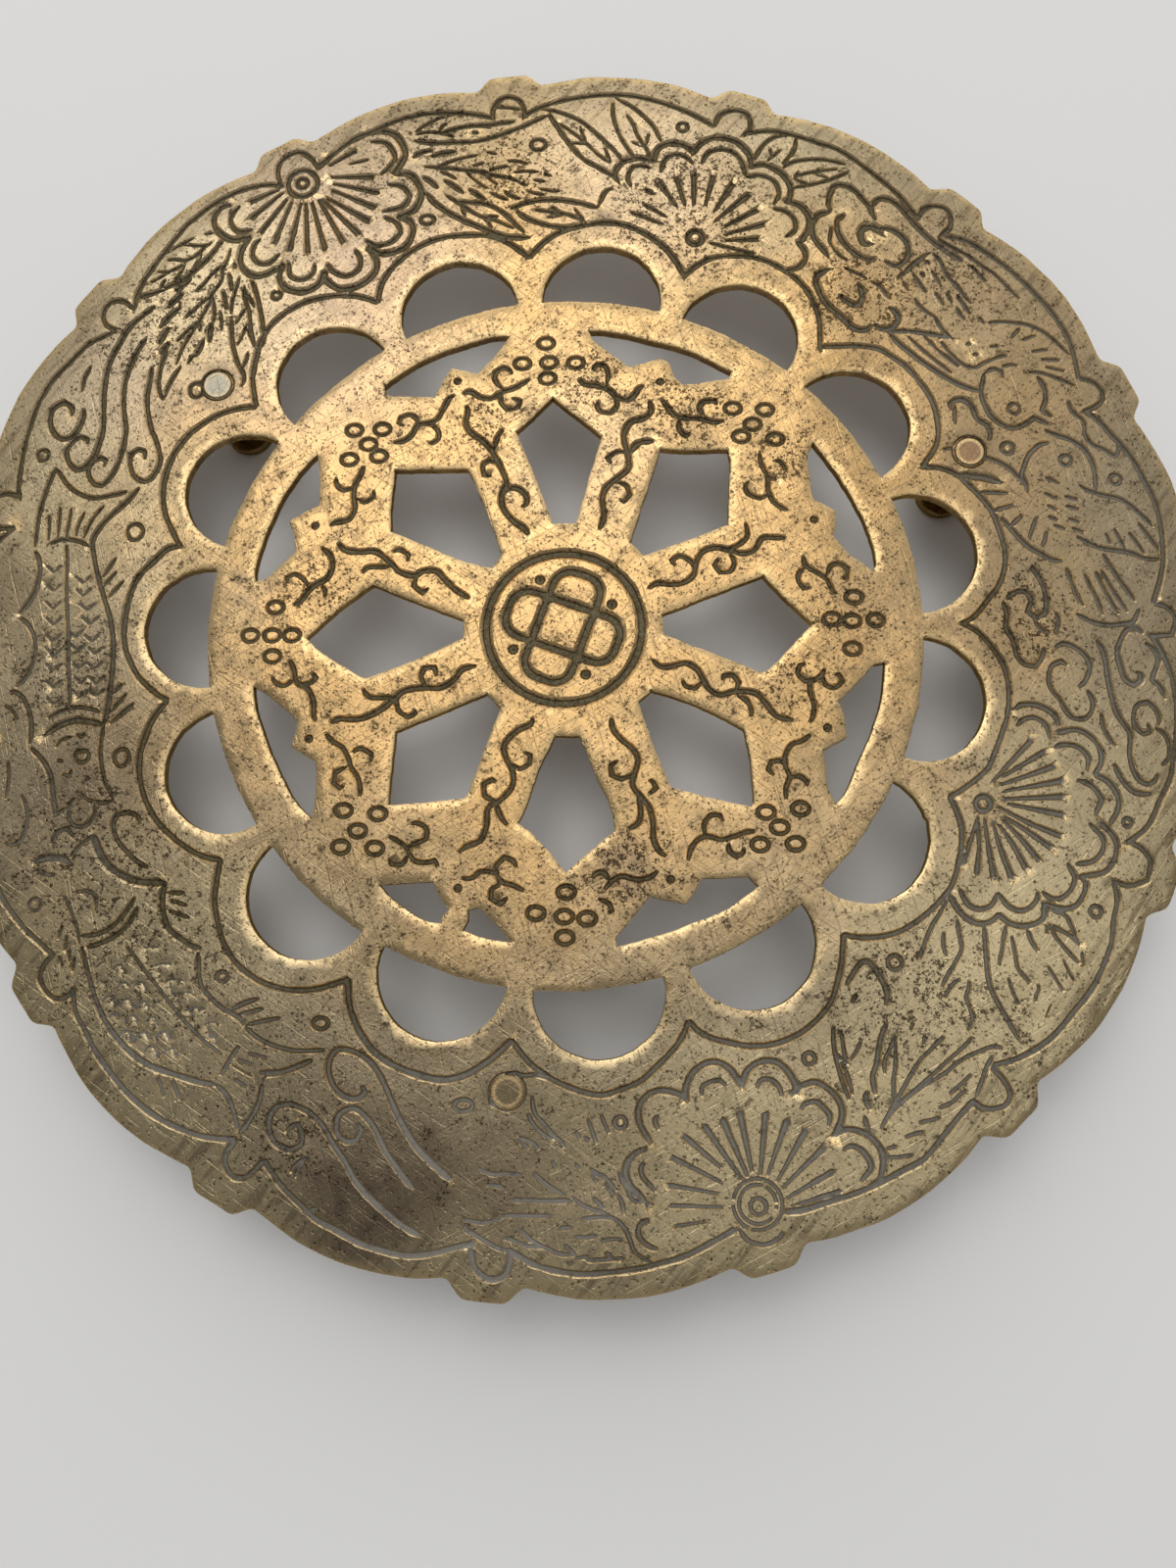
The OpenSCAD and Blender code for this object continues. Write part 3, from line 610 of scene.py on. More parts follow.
WAVES_LEFT = """
1.1 -65.7,54.3 -69.5,50.7 -71.2,47.3 -72.2,45 -72.8,42.3 -73,39 -72.8,35.7 -72.7,32.7 -73.2,30 -73.8,28.3
    -75,26.7 -76.2,26.2 -77.5,27.2 -78.2,29 -77.5,30.7 -76.2,31.7 -75,31.3 -74.8,30.3
1.0 -66.7,48.7 -67.7,47 -68.7,44.7 -69.5,42 -69.8,39 -69.5,35.7 -69,32.7 -69.2,30 -69.7,27.3 -70.7,25
    -72,23.5 -73.5,24 -74.5,25.7 -74,27.3 -72.8,28.2 -71.8,27.7 -72,26.5
1.0 -65.5,43.7 -65.7,41.3 -66,38.3 -65.7,35.7 -65,33 -64,30.7 -63.2,28 -63.5,26 -64.5,24.5 -65.7,24.2
    -67.2,25.2 -67.9,27 -67.8,28.5 -66.8,29.5 -65.8,29.2 -65.5,27.7
1.1 -77.8,35.2 -78,36.7 -79.3,37.7 -80.7,36.8 -81.3,35.3 -81,33.3 -79.7,31.8 -78.3,31.5 -76.8,32.7 -76,35
    -76,36.7
0.9 -75.3,44 -76.3,41.5 -76.5,39.3
"""
LEAVES_LEFT = """
0.65 -65,63.2 -63.3,64.5 -61.3,65.7 -59.7,66.5
0.7 -65,62.3 -63,62.4 -61.5,62.2 -60.2,62.7 -59.2,63.5 -58.5,64.3 -56.8,65.8
0.65 -62.5,65 -61,65 -59,64.8 -57.3,65.2
0.65 -66.3,60.3 -64.8,60.2 -63.7,60.3 -62,61.3 -61.2,62
0.65 -67.3,58 -65.7,59 -63.7,60.2
0.65 -65.3,57.3 -64.3,59
0.65 -63,58.3 -62,60 -61.3,61.7
0.65 -60.2,60.5 -59.3,62 -58.7,63.7
0.7 -58.7,66.7 -58,67 -57,67.2
=1.0 -68.7,55.8 -66.7,56.3 -65,57 -62.7,58.2 -60.3,59.8 -58.3,61.8 -56.8,63.7 -55.8,65.3
1.2 -60.2,58.8 -61.3,58 -62.8,56.5
1.2 -61.2,56.5 -62.3,55.5 -63.7,53.7
1.2 -61.8,53.8 -63.3,52.3 -64.8,50.2
1.2 -63.2,50.5 -64,49.2 -64.8,47.3
1.1 -63,48 -63.5,47 -64.5,45.5
0.9 -63.2,46.3 -64,44 -64.3,41.7 -64.2,39.7 -63.4,38 -62.7,40 -61.8,42 -60.8,43.7
0.7 -59.9,43.8 -58.9,45.8
0.7 -54,64.3 -54.5,62.3 -55.2,60.3 -55.3,58.3 -56.7,56 -57.2,54 -58.3,51.7 -59.7,49 -61,46.3 -61.7,43.7
0.7 -55.2,61.5 -56.8,59.7 -58.3,57.7 -59.8,56.2
0.7 -56.7,56 -58.3,54.5 -60,52.7 -61.2,51.5
0.7 -58.3,51.7 -60,50 -62,47.7
1.0 -53.5,61.7 -53.2,60.5
0.9 -54.2,60 -53.8,58.3 -53.5,56.5
0.9 -55,57 -54.5,55 -54.1,53.2
0.8 -56.5,55.7 -56.2,53.5 -56,51
0.7 -55.3,53.7 -54.9,51.7 -54.7,49.5
1.3 -56.5,51 -56.7,49.3 -56.5,47.5
1.1 -57.5,48.3 -58.2,46.3 -58.7,45
0.7 -58.3,51 -58.2,49.5
0.7 -52.3,59.3 -52.8,57 -53.3,54.5 -53.3,52
0.9 -53.3,52 -53.2,50 -52.9,47.5 -52.3,45.3 -51.7,43.7 -50.8,42 -50.7,40.7 -51.2,39.7
1.0 -50.5,58.7 -49.8,57 -49.2,55 -48.7,53 -48.3,51 -48,48.7 -48,47.5 -48.8,46
0.8 -51.5,57.7 -51.3,55.3 -50.5,53 -50.2,50.7 -49.8,48.7 -49.2,46.8
0.7 -51,53.7 -52,51.8 -52.8,50.5
0.7 -50.7,50.7 -51.3,48.8 -52,47
0.7 -50.7,50 -49.7,48 -49,46.3
0.7 -51.3,56.5 -50.3,55 -49.5,53.5
0.7 -50.2,46 -50.5,44.3 -51,43.2
"""
FISH_LEFT = """
0.9 -81.7,13.3 -81.7,16.3 -81.5,19 -81,21.7 -80.2,24.7 -79.5,26.7
0.9 -79.5,26.5 -78,24.3 -76,22.5 -73.3,21.5 -70.7,21.8 -67.8,22.5
1.0 -66,23.2 -67.7,21 -70,18.7 -71.7,16.7 -72.8,14.2 -72.3,11.3 -71.5,8.5 -70.4,5.3 -69.3,2.3 -68.5,-1
    -68.2,-4.3 -68.2,-7.7 -68.3,-10.7 -68.7,-14.7
0.65 -80,19.3 -79.8,16.7 -79.7,14
0.7 -78.3,20.3 -78.3,14.7
0.7 -76.5,20 -76.7,17.5 -77,15
0.7 -74.3,19.3 -75.2,17 -75.5,15
0.7 -71.3,20.3 -73,18 -74.3,14.7
0.8 -79.7,13.8 -77.7,14.7 -75.3,14.5 -73,13.5
0.8 -76.8,14 -76.5,10.7 -76.3,7.3 -75.9,3.3 -75.3,-1 -75,-5 -74.5,-8.7 -74.2,-12
1.0 -81.7,13 -80.8,10.7 -80.7,8.7 -81.3,5.7 -83.3,2.5
0.9 -83.3,2.3 -81.7,1 -80.5,-1.3 -80.3,-4 -81,-6.7 -82.7,-9
1.0 -83.5,-9.2 -81.7,-10.3 -80.3,-12.7 -79.8,-15.3 -79.8,-17.8
1.0 -79.7,-18 -77.7,-20 -76.3,-22.3 -75.7,-25 -75,-28.7
0.8 -68.7,-14.7 -69,-17.7 -68.7,-20.7 -67.7,-23.7 -66.3,-26.2
0.7 -66.3,-26.3 -68.3,-26.5 -70.3,-26 -72,-24.7
0.8 -68.8,11.7 -70.8,8.3
0.8 -68.5,9.5 -70.5,7
0.8 -67.3,8 -69.8,5
0.8 -66.3,-8.3 -68,-10
0.8 -65.5,-9.8 -68.2,-13
0.9 -64.3,-11.3 -68,-14.7
0.7 -77.8,-14 -75.7,-12.7 -73.3,-12 -71,-12.2 -69,-13
1.2 -77.5,-16.2 -75.7,-14.8 -73.3,-14 -71,-14.2 -68.7,-14.7
0.7 -72,-25.3 -73,-27 -72.8,-29 -71.7,-30 -70,-29.7 -69,-28 -69.3,-26.3
0.7 -73.2,-27 -75,-28.5
0.7 -73,-16 -72,-16.5 -71.3,-15.8
0.7 -75.8,-18.3 -75,-17 -73.3,-16.5
0.7 -75.7,-20 -74.3,-20.3
0.7 -74.7,-22 -73.3,-22.5 -73,-21.3
0.8 -71.7,-31.7 -73,-30.3 -74.3,-30.8 -74.9,-32.2 -74.5,-33.3
0.7 -69,-31.2 -71,-33 -72.2,-34.8
1.4 -77.5,-35.2 -75.7,-34.7 -73.7,-34.8 -72,-35.5
0.65 -77.5,-36 -75.7,-37 -73.7,-37.2
0.9 -62.2,-30 -62.5,-28.7 -64,-28 -65.7,-28.3 -66.2,-30 -65.5,-32 -64.2,-33.5 -62.3,-35.2 -60.3,-36.2
0.8 -82.8,-20 -82.5,-23.3 -82.7,-26
0.8 -80.3,-25 -79.3,-27.7 -79.2,-30 -79.8,-32 -81.2,-32.8 -82.3,-32.2
0.7 -84.7,-11.3 -83,-12.3 -81.7,-14
"""
FISH_LOWER = """
1.5 -69,-31.3 -68.3,-33.3 -66.7,-35.7 -64.3,-37.3 -61.7,-38.2 -58,-38.3
1.2 -57.7,-38.2 -58.2,-40 -58,-42.3 -57.2,-44.7 -55.3,-46.3 -53.3,-47.5 -51.8,-47.8
0.9 -52.3,-48.3 -52.2,-50.7 -51.7,-53 -50.3,-54.7 -48.3,-56.3 -46,-57.5 -45,-58.7
0.7 -57.5,-39.8 -54.7,-39.8
0.7 -57.2,-40.8 -54.2,-41.7
0.7 -57.3,-42.3 -53.7,-43.5
0.8 -47.7,-56.7 -45.3,-55.5 -43,-54.8
0.8 -46.3,-57.3 -42.3,-56.2
0.8 -44.8,-58.5 -42.3,-58 -39.8,-57.5
0.9 -69.7,-46 -67.3,-45.7 -65.3,-44.7 -63.7,-43 -62,-40.3
0.9 -69,-47.7 -66.7,-47 -64.3,-45.7 -62.7,-44 -61.5,-41.7
0.7 -72.7,-40 -71.3,-42.7 -70.3,-45 -69.7,-47.3
0.7 -71.3,-39.7 -69.3,-39.5 -68,-40.3 -67.7,-42.7
1.0 -69.3,-47.7 -68.5,-50.7 -67.3,-54 -65.7,-57.3 -63.7,-60 -61.3,-62.3 -58.7,-64 -56,-65 -53.3,-65.8
    -50.7,-66.5 -48.7,-66.7
0.9 -48.7,-66.7 -47,-68.3 -46,-70.3 -45.2,-73
0.9 -42,-66.5 -42.5,-69.3 -43.7,-71.7 -45.2,-73.7
0.65 -63.2,-47 -61.3,-49.3 -59,-52 -56.7,-54.7 -54,-57.7 -51.3,-60.3 -48,-62.8
0.7 -48.3,-66 -46.7,-63 -45.3,-61
1.1 -42.8,-65.1 -40.7,-65.2 -38.3,-64.7 -35,-63.3
0.55 -46.3,-63 -43,-64.3
0.55 -45,-62.3 -41,-63.2
0.55 -46.7,-64 -43.3,-65.8
0.55 -46.7,-65.7 -43.8,-67.3
0.65 -72.3,-44 -73,-46.7
0.65 -71.7,-45.7 -71.8,-48.7
0.7 -71.3,-47.3 -71,-50
0.7 -70.3,-48.7 -70.5,-51.3
0.65 -72.7,-48.7 -71.8,-50.7
0.7 -57.3,-65.3 -56.3,-67.5 -55.8,-69
0.7 -55,-66 -53.7,-69
o0.6 -76.8,-41.5 1.2,1.2
"""
# Tendrils of the star, a group for each arm and spoke
TENDRILS = """
1.1 2.2,40.5 3.3,39.5 5.3,39.2 7.3,38.3 8.3,37.2 10,36.8 11.2,37.7 11.8,38.7 12.7,39.1
0.9 6.7,39.3 7,41 6.5,42.5 5.3,42.8 4.7,42 5.2,41.5
0.9 8.2,37.3 8.3,35.7 7.3,34.5 5.8,34.8 5.2,35.8 5.7,36.7
1.0 -16,38 -14.7,38.5 -13,37.5 -11.3,37.3 -9.7,38.3 -7.7,39 -5.2,40.5
1.0 -9.5,38.7 -10.7,40.3 -10.7,41.7 -9.5,42.5 -8.5,42 -8.1,41.2
0.9 -9.7,38.3 -9.8,36.7 -8.7,35.3 -7.2,35.7 -6.8,36.8 -8.2,37.3
1.0 -26.7,30.1 -25,30.3 -23.7,31.3 -22.7,33 -21,33.3 -19.7,34 -18.8,35.7 -18,37.3 -17,38
0.9 -22.8,32.7 -23,34 -24,34.7 -25.5,34.3 -25.8,33.3 -24.8,32.8
0.9 -21,33.2 -19.7,32.2 -19.5,30.7 -20.5,29.8 -21.3,30.2
1.0 -31,26.3 -31.5,24.7 -32.3,23 -32.5,21.3 -32.2,19.3 -33,17.5 -35,17 -36,16.3
0.9 -32.7,22.7 -34,22.3 -35.2,23.3 -35.2,24.5
0.9 -32.3,21 -30.7,20.3 -29.3,21 -29.3,22.3
1.0 -37.2,13 -35.7,11.7 -35.3,9.7 -36,8 -37.7,7 -38.8,6 -40,4.3 -41.2,3.7
0.8 -38.8,6.7 -39.7,8 -41,8.7 -42.2,8.2 -42,7
0.8 -37,7 -36.2,6 -36.3,4.7
1.0 -41.3,-4.7 -40.5,-6.3 -40,-8.3 -38.3,-9.3 -37.3,-11.3 -37.2,-13.3 -36.7,-14.5
0.9 -40.3,-7.7 -41.7,-8.8 -43.2,-8.3 -43.7,-7.2
0.9 -39.7,-8.7 -38,-8.5 -37,-7.7 -37.8,-6.7
0.9 -35.3,-16 -34.3,-17.3 -32.7,-18.3 -31.7,-20 -31.3,-21.3 -30.3,-22.7 -29.8,-24.3 -29.8,-26
0.9 -31.3,-19.3 -30,-18.5 -28.3,-19.3 -28.3,-20.8
0.9 -31.8,-21.3 -33.5,-22 -33.7,-23.7 -32.7,-24.5 -32,-24
0.9 -25.5,-31.5 -24,-32.3 -22.7,-33.3 -21.7,-35 -20,-35.5 -18.5,-35.2 -17.8,-36.3
0.9 -22.7,-33.3 -21.3,-32.7 -19.8,-32 -19.8,-30.5 -21,-29.7 -22.3,-29.8
0.9 -22.2,-34.3 -23.3,-35.7 -24.7,-35.7 -25.2,-34.7
0.9 -14.7,-37.8 -13,-37.7 -11.7,-36.8 -9.8,-37 -8.7,-38.3 -7,-38.8 -5.2,-39.7
0.9 -9.3,-37.7 -9.5,-36 -8.3,-34.8 -7,-35.3 -6.5,-36.5
0.9 -8.7,-38.7 -10,-39.3 -10.2,-40.7 -8.8,-41.5 -7.7,-40.5
0.9 14,-36.7 12.7,-37.7 10.7,-38 8.7,-37.5 7.2,-38.3 6,-39.7
0.9 6.8,-38.2 6.3,-37.2 5.2,-37 4.2,-38
0.8 5.2,-40.8 6.7,-41.3 7.3,-42.5 6.5,-43
0.9 18.2,-35.5 18.7,-33.7 19.7,-32.3 21.3,-31.8 23.3,-32.3 25,-31.8 26.7,-31.2 28.2,-31
0.9 20.8,-31.7 20.7,-30 21.7,-28.7 23,-28.8 23.5,-29.8
0.9 24.2,-32.3 24.2,-33.8 25.2,-34.7 26.2,-34.2 26.3,-33.3
0.9 36.7,-16.7 35.3,-17.7 33.7,-18.3 32.7,-20 32.8,-21.7 33.3,-23 32.7,-24.7 32.6,-26.7
0.9 33,-21.7 32,-20.7 30.7,-20.8 30.2,-22 31.2,-23
0.9 33.3,-23.2 34.7,-23 35.8,-23.8 35.5,-24.7
0.9 39,-6.7 38.3,-8 36.8,-8.8 36.7,-10.3 37.2,-12.3 37,-14 36.3,-15.2
0.9 37.7,-8.3 36,-8.7 35,-7.5 35.3,-6.3 36.3,-6
0.9 38.5,-8 39,-9.3 40.3,-9.7 41.5,-8.8 41,-7.7 40.2,-7.8
0.9 36.3,11 36.7,9.3 38.3,8.2 39.8,7 40.5,5.5 41.3,4.5
0.9 37,9 35.8,8.3 35.5,7 36.3,5.7 37.5,5.8
0.9 39.8,7.7 40.5,9.2 41.8,9.5 43,8.7 42.8,7.3 41.8,7.2
1.0 15.2,36.8 16.3,35.3 17.3,34 19.3,33.5 21.7,33.3 23.3,32.8 25,33
1.0 21.7,33.5 21.2,35.3 22,36.3 23.7,36.3 23.8,35.5
1.0 18,33.3 18,31.7 19,30.5 19.8,31
0.9 30.2,27.7 30.5,25.7 31.4,23.6 31.4,21.7 31.9,20 33,18.8 34.5,18
0.9 31.4,23.6 32.2,23.3 33,23.4
0.9 31.3,20.7 30,20.2 28.3,21 28,22.2 28.6,23
0.8 32.3,26.2 33.3,26.1 34,25.2 34,24.3
1.1 13.3,36.7 13.7,35 12.7,33.7 10.5,33 9.5,31.3 9.5,29.7 10,27.7 10,25.3 8.3,23.7 6.7,22.3 6,20.3
    6.3,17.7 5.5,15.2
1.2 10.2,27.7 11.7,29.5 14.2,29.8
0.9 9.7,28 8.2,28 6.8,27 7.5,26
0.9 8.3,23 9.7,22.5 10.3,21 9.3,19.8 8.5,20.3
1.1 -15.2,36.3 -15,35 -15.3,33.3 -14.5,31.7 -12.7,30.3 -11.2,28.7 -10.2,26.7 -9.2,24.7 -8.8,23 -9.5,21
    -9.2,19 -7.7,17 -6,15.7 -5.2,14.5
1.0 -10.7,28.7 -10.3,30.7 -9.3,32.3
0.9 -10.3,26.3 -11.5,27 -12.5,26 -12.2,24.5 -11,24.2
1.0 -9.5,21 -8.5,22.2 -7,22.2 -5.7,21 -5.7,19.7 -6.5,19
1.1 -34.7,13.8 -33.3,12.5 -31,12.2 -28.7,12.2 -26.7,10.7 -25,9 -22.7,8.3 -21.3,9 -19.3,9 -18,7.7 -16.3,6
    -14,4.5
1.0 -30.7,8.5 -29.7,9.7 -26.3,9.7
0.9 -26.3,12 -25,12.5 -23.7,11.7 -23.7,10.3
0.9 -22.3,8.3 -22.7,6.7 -21.3,5.5 -20.3,6.3
1.1 -34.8,-14.8 -33.3,-14 -30.3,-14 -27.7,-13 -25.3,-11.2 -23.7,-9.8 -21,-9.3 -18.3,-9.3 -16.3,-8.2
    -15,-6.5 -12.8,-6
0.9 -30,-9.3 -28.7,-10.7 -25,-10.7
0.9 -20.3,-9.3 -21.2,-7.7 -20.7,-6.3 -19.2,-6.2 -18.8,-7.7
0.9 -24.7,-11 -24.5,-12.7 -23,-13.8 -21.8,-13.2 -22.3,-12.5
1.0 -4.3,-13.8 -4.7,-15 -6.7,-16 -8.5,-18 -8.3,-20 -7.3,-22 -7.3,-24.3 -9,-26.3 -10.8,-27.5 -11,-30
    -11.8,-32.2 -14,-33.2 -15.2,-34.2
1.0 -9.7,-26.7 -9,-28.7 -7.8,-30.2
0.8 -7.7,-20.8 -6.3,-21.7 -4.8,-21 -4.7,-19.7 -5.8,-19.2
0.9 -9.7,-26.5 -11.3,-25.7 -11.5,-24 -10.3,-23.3 -9.5,-23.8
1.0 12.8,5.8 14.3,6.7 16.3,6.5 18.3,6.8 19.8,8 20.2,10 21.3,11.7 23.3,12.3 25.3,11.8 27.3,11.3 29,11.8
    30.3,13.7 32,13.8 34,13.7
0.9 24.7,12 26.7,12.7 28,14 28,15.3 27.7,16.3
0.9 20,9 19.2,10.3 17.7,11 16.5,10.3 17.2,9.2
0.9 25.2,11.3 26,10 25.3,8.5 23.8,8.3 23,9.5 23.7,10.7
1.0 13.3,-5.2 14.7,-6.3 16.3,-6.3 18.3,-5.8 20,-6.7 20.8,-8 21.7,-9.7 23.3,-10.7 25.3,-10.3 27.3,-10.2
    29,-10.7 30.3,-12.3 31.7,-14 34.3,-14.7
0.9 25.7,-10.7 27.2,-11.5 28,-13 27.7,-14.3
0.9 20.8,-8.7 19.7,-9.7 18.3,-9.3 17.8,-8.2
0.9 25.7,-10.2 26.2,-8.8 25.3,-7.7 24,-7.8 23.7,-8.7
1.0 7.3,-14 7.5,-15.7 8.7,-17.3 10.3,-18.7 11.2,-20.3 10.8,-22 10.3,-24 11.3,-25.7 12.8,-27.7 13.3,-30
    13.3,-32 14,-33.7 15.3,-34.8
1.0 11.2,-25.7 11.5,-27.7 11.2,-29.7 9.5,-30.8
0.9 10.7,-22.3 9,-23.3 7.3,-22.7 7.2,-21.3 8.3,-20.5
0.8 12.5,-25.7 13.8,-24.7 13.3,-23.7 12.6,-23.5
"""
# Small rings: middle, then outer radii
RINGS = """
o0.8 -4.3,82 1.6,1.4
o0.8 19.3,84.7 1.2,1.2
o0.8 -22.2,68.7 1.5,1.2
o0.8 -46.2,55.7 1.1,1.1
o0.8 68.1,27.8 1.3,1.3
o0.8 83.9,22.5 1.2,1.2
o0.8 81.3,-30 1.0,1.0
o0.8 75.8,-42.7 1.2,1.2
o0.8 47.2,-49.8 1.4,1.4
o0.8 8.3,-71.7 1.2,1.2
o0.8 34.7,-63 1.2,1.2
o0.8 -58.1,39.4 1.5,1.6
o0.8 -81.8,28.7 1.3,1.3
o0.8 -66.2,15.8 1.6,1.7
o0.8 -65.7,-19.7 1.5,1.7
o0.8 -71.7,-19.5 1.4,1.3
o0.8 -48.7,-51.8 1.2,1.1
o0.8 -34.2,-58.3 1.5,1.2
o0.8 -13.6,-69.5 1.7,1.2
o0.8 -9.2,-68.8 0.9,0.9
"""
# Berries of the eight clusters, and their radii
BERRY_RADII = (1.62, 1.32)
BERRY_W = 0.75
BERRIES = """
-2.3,43.2 -2.8,46.5 -2.5,40.5 1.9,43.1 -6.5,43.1
29.3,32.3 26.3,35 31.3,34.7 27.5,30.3 32.7,29.8
43.3,0.5 43.7,4.2 40.3,0.8 46.8,0.6 43.2,-3.8
31.6,-30.5 29.7,-28.3 34.7,-27.8 28.7,-33 33.8,-32.9
0.4,-43.3 0.7,-39.8 3.7,-43.6 0.5,-46.3 -3.7,-42.8
-29.9,-30.8 -32.1,-27.8 -27,-28.3 -32.3,-33.2 -27.3,-33.4
-44,-1 -43.7,3.4 -47.3,-1 -41,-1 -43.8,-4.3
-30.4,29.8 -32.7,32.2 -28.3,32.3 -33.3,27.3 -28.7,27.8
"""
# Dots punched in the tabs, and their radius
TAB_DOTS = "15.1,39.7 38.2,16.6 39,-15.8 15.7,-38 -15,-39.2 -37.7,-17 -38.2,16.5 -16.7,40.3"
TAB_DOT_R = 0.7
# Chevrons of the fish on the left: the point of each
CHEVRONS_LEFT = """
-78.5,9.4 -78.3,6.4 -78.1,3.6 -77.8,1 -77.7,-1.6 -77.3,-3.9 -77.2,-6.3 -77,-8.9 -76.7,-11.5
-73.8,7.6 -73.6,5.6 -72.8,3.2 -72.2,1 -74.3,-1 -71.7,-1.7 -73.7,-3.2 -71,-3.7 -73.3,-6 -71,-6
-72.8,-8.2 -70.5,-8.3 -72.8,-10.4 -70.2,-10.2
"""
# Scales of the lower fish: hooks above its middle line and small arcs below it
HOOKS_LOWER = "-61,-45.9 -59.3,-47.6 -57.3,-50 -55.6,-52.2 -54.3,-54 -52.3,-56.2 -49.8,-58.2 -48.5,-60"
ARCS_LOWER = """
-66,-49.8 -63.7,-50.2 -66.1,-52.4 -62.8,-52.7 -60.4,-52.6 -64.8,-54.6 -62.2,-55 -59.8,-55.3
-63.7,-57 -61.2,-57.3 -58.4,-57.5 -62,-59.4 -59.5,-59.6 -56.6,-59.5 -58.2,-61.6 -55.4,-61.8
"""
# The strokes of one mark: points from its place, then the widths at both ends
CHEVRON = (
    (((-1.05, 0.95), (0, 0)), (0.65, 0.6)),
    (((0, 0), (1.05, 0.95)), (0.65, 0.6)),
)
HOOK = (
    (((-0.8, -0.1), (0, 0.05), (0.9, 0)), (0.52, 0.48)),
    (((-0.6, -0.1), (-0.2, -1.5)), (0.5, 0.42)),
)
ARC = ((((-0.8, -0.5), (-0.3, 0), (0.4, 0), (0.8, -0.7)), (0.52, 0.48)),)
CHEVRON_DEPTH_SHARE = 0.5
SCALE_DEPTH_SHARE = 0.25

# The middle field holds two crossed oblongs with a dot in each corner between them
MEDALLION_MIDDLE = (0.2, -0.2)
MEDALLION_R = 12.6
MEDALLION_W = 1.75
OBLONG_W = 1.75
OBLONG_HALF = (8.7, 3.7)
OBLONG_ROUND_SHARE = 0.75
OBLONG_ROUND_POINTS = 6
OBLONG_TURN = 20
MEDALLION_DOT_R = 0.85
MEDALLION_DOT_AT = 8.2

# Kite windows and the openings between the ring and the star, by their corners
KITES = """
-1.7,37.2 6,30.7 1.9,16.4 -1.6,16.4 -4.5,24.5 -7.4,31.6
15,28.5 18,28.2 25.4,28.2 25.7,25 25.1,15.8 20,13.9 12.3,11.1 10.2,13.2 12,19 14,25
30.3,7.8 33.5,4 37.4,0.1 34.5,-3 31,-6.6 29.7,-7.4 22,-4.2 15.2,-1.4 14.9,1.7 22,4.5
13.2,-9.9 11.3,-11.7 13.3,-18 16,-24.5 21,-26 27.6,-27.5 28,-26.7 27.6,-20.5 26.8,-15.9 20,-12.4
-1,-16.8 2.6,-16.8 5,-22.7 7.2,-27.7 7.7,-31 4.3,-33.7 0.6,-37 -3.3,-32.3 -6.5,-29.8 -5,-26.7 -3.3,-21.7
-11.3,-10.3 -9.2,-12.5 -13.3,-24 -14.4,-26 -20,-26.7 -25.5,-27 -25.2,-21.7 -24.8,-16 -20,-14
-29,6.9 -22,4 -15,1.2 -15,-1.7 -22,-5 -29.4,-7.8 -30.2,-7.6 -36,-4 -38.8,-1.5 -33.5,3.6
-26.1,25.5 -20,25.5 -14.8,25.5 -13.2,22 -11,16.3 -9.3,11.4 -10.7,9.3 -15,10.4 -20,12.6 -26.4,15.4
    -26.6,20
"""
SEGMENTS = """
3.9,48.6 8,48.2 14,46.7 20,44.7 26.3,41.2 25.8,40 21.3,39.4 18.5,39.2 17.3,40.4 16.5,42.8 15.3,43.7
    10.3,42.2 5,46.7
38.5,29.1 37.6,26.5 38,21.3 38.4,19.8 41.5,18 41.5,16.3 41,14 43.3,11 46.8,8.2 47.3,9.3 46.6,13.5 45,18
    42,24
46.3,-6.2 47.8,-6 47.2,-11 45.7,-16 43.3,-21 41.3,-25.5 39.7,-27.2 38.7,-24 38.3,-19.2 41.8,-17.3
    41.5,-14.3 40.8,-11.8 44.3,-8.4
20.3,-37.9 27,-37.6 28.3,-39 27.3,-39.9 23.3,-42.5 19.3,-44 15,-45.7 8,-47.6 7.8,-46.3 10,-43.7
    12.8,-40.4 17.8,-41.6 18.8,-40.4
-26.5,-38.7 -18.7,-38.3 -17.5,-40.7 -16.2,-42.3 -17.3,-43.6 -17.3,-44.3 -20,-43.7 -22.7,-42 -25,-40.4
-13.5,-42.4 -12,-42 -10,-43.7 -7.2,-47 -8.7,-46.8 -11.7,-46.2 -14.2,-45.3 -13.4,-44
-46.4,-9 -44,-10.5 -41.7,-12.3 -39.5,-14.3 -40.2,-18.2 -36.5,-20.5 -36.3,-25 -36.8,-29 -39,-26.8
    -41,-23.7 -43.3,-19.3 -45,-15 -46.1,-11.5
-38.4,28.2 -40,26.7 -42.3,23.3 -44.3,19.3 -46,14.3 -47.2,9.5 -47,7.5 -45,8.3 -41.2,12.3 -41.3,14.7
    -42.3,17.3 -37.7,20 -37.9,25
-28.2,39.7 -28,38.3 -26.5,37.9 -20.3,37.6 -19,40.4 -17.7,42.5 -13.5,41.5 -10,45.7 -8.6,47.9 -11.7,47.8
    -15,46.8 -20,45 -23.5,43.2 -26.7,41
"""

# Nicks and burrs on the sawn edges: x, y, and how far the edge is moved there
NICKS = (
    (61.1, -13.7, -0.8, -0.1), (53.4, -29.7, 1.0, 0.2), (51.9, -12.6, 0.5, 0.1),
    (52.0, -16.3, 0.5, 0.0), (50.9, -20.9, -0.4, 0.4), (27.4, -38.7, -0.5, 0.5),
)
NICK_REACH = 0.8

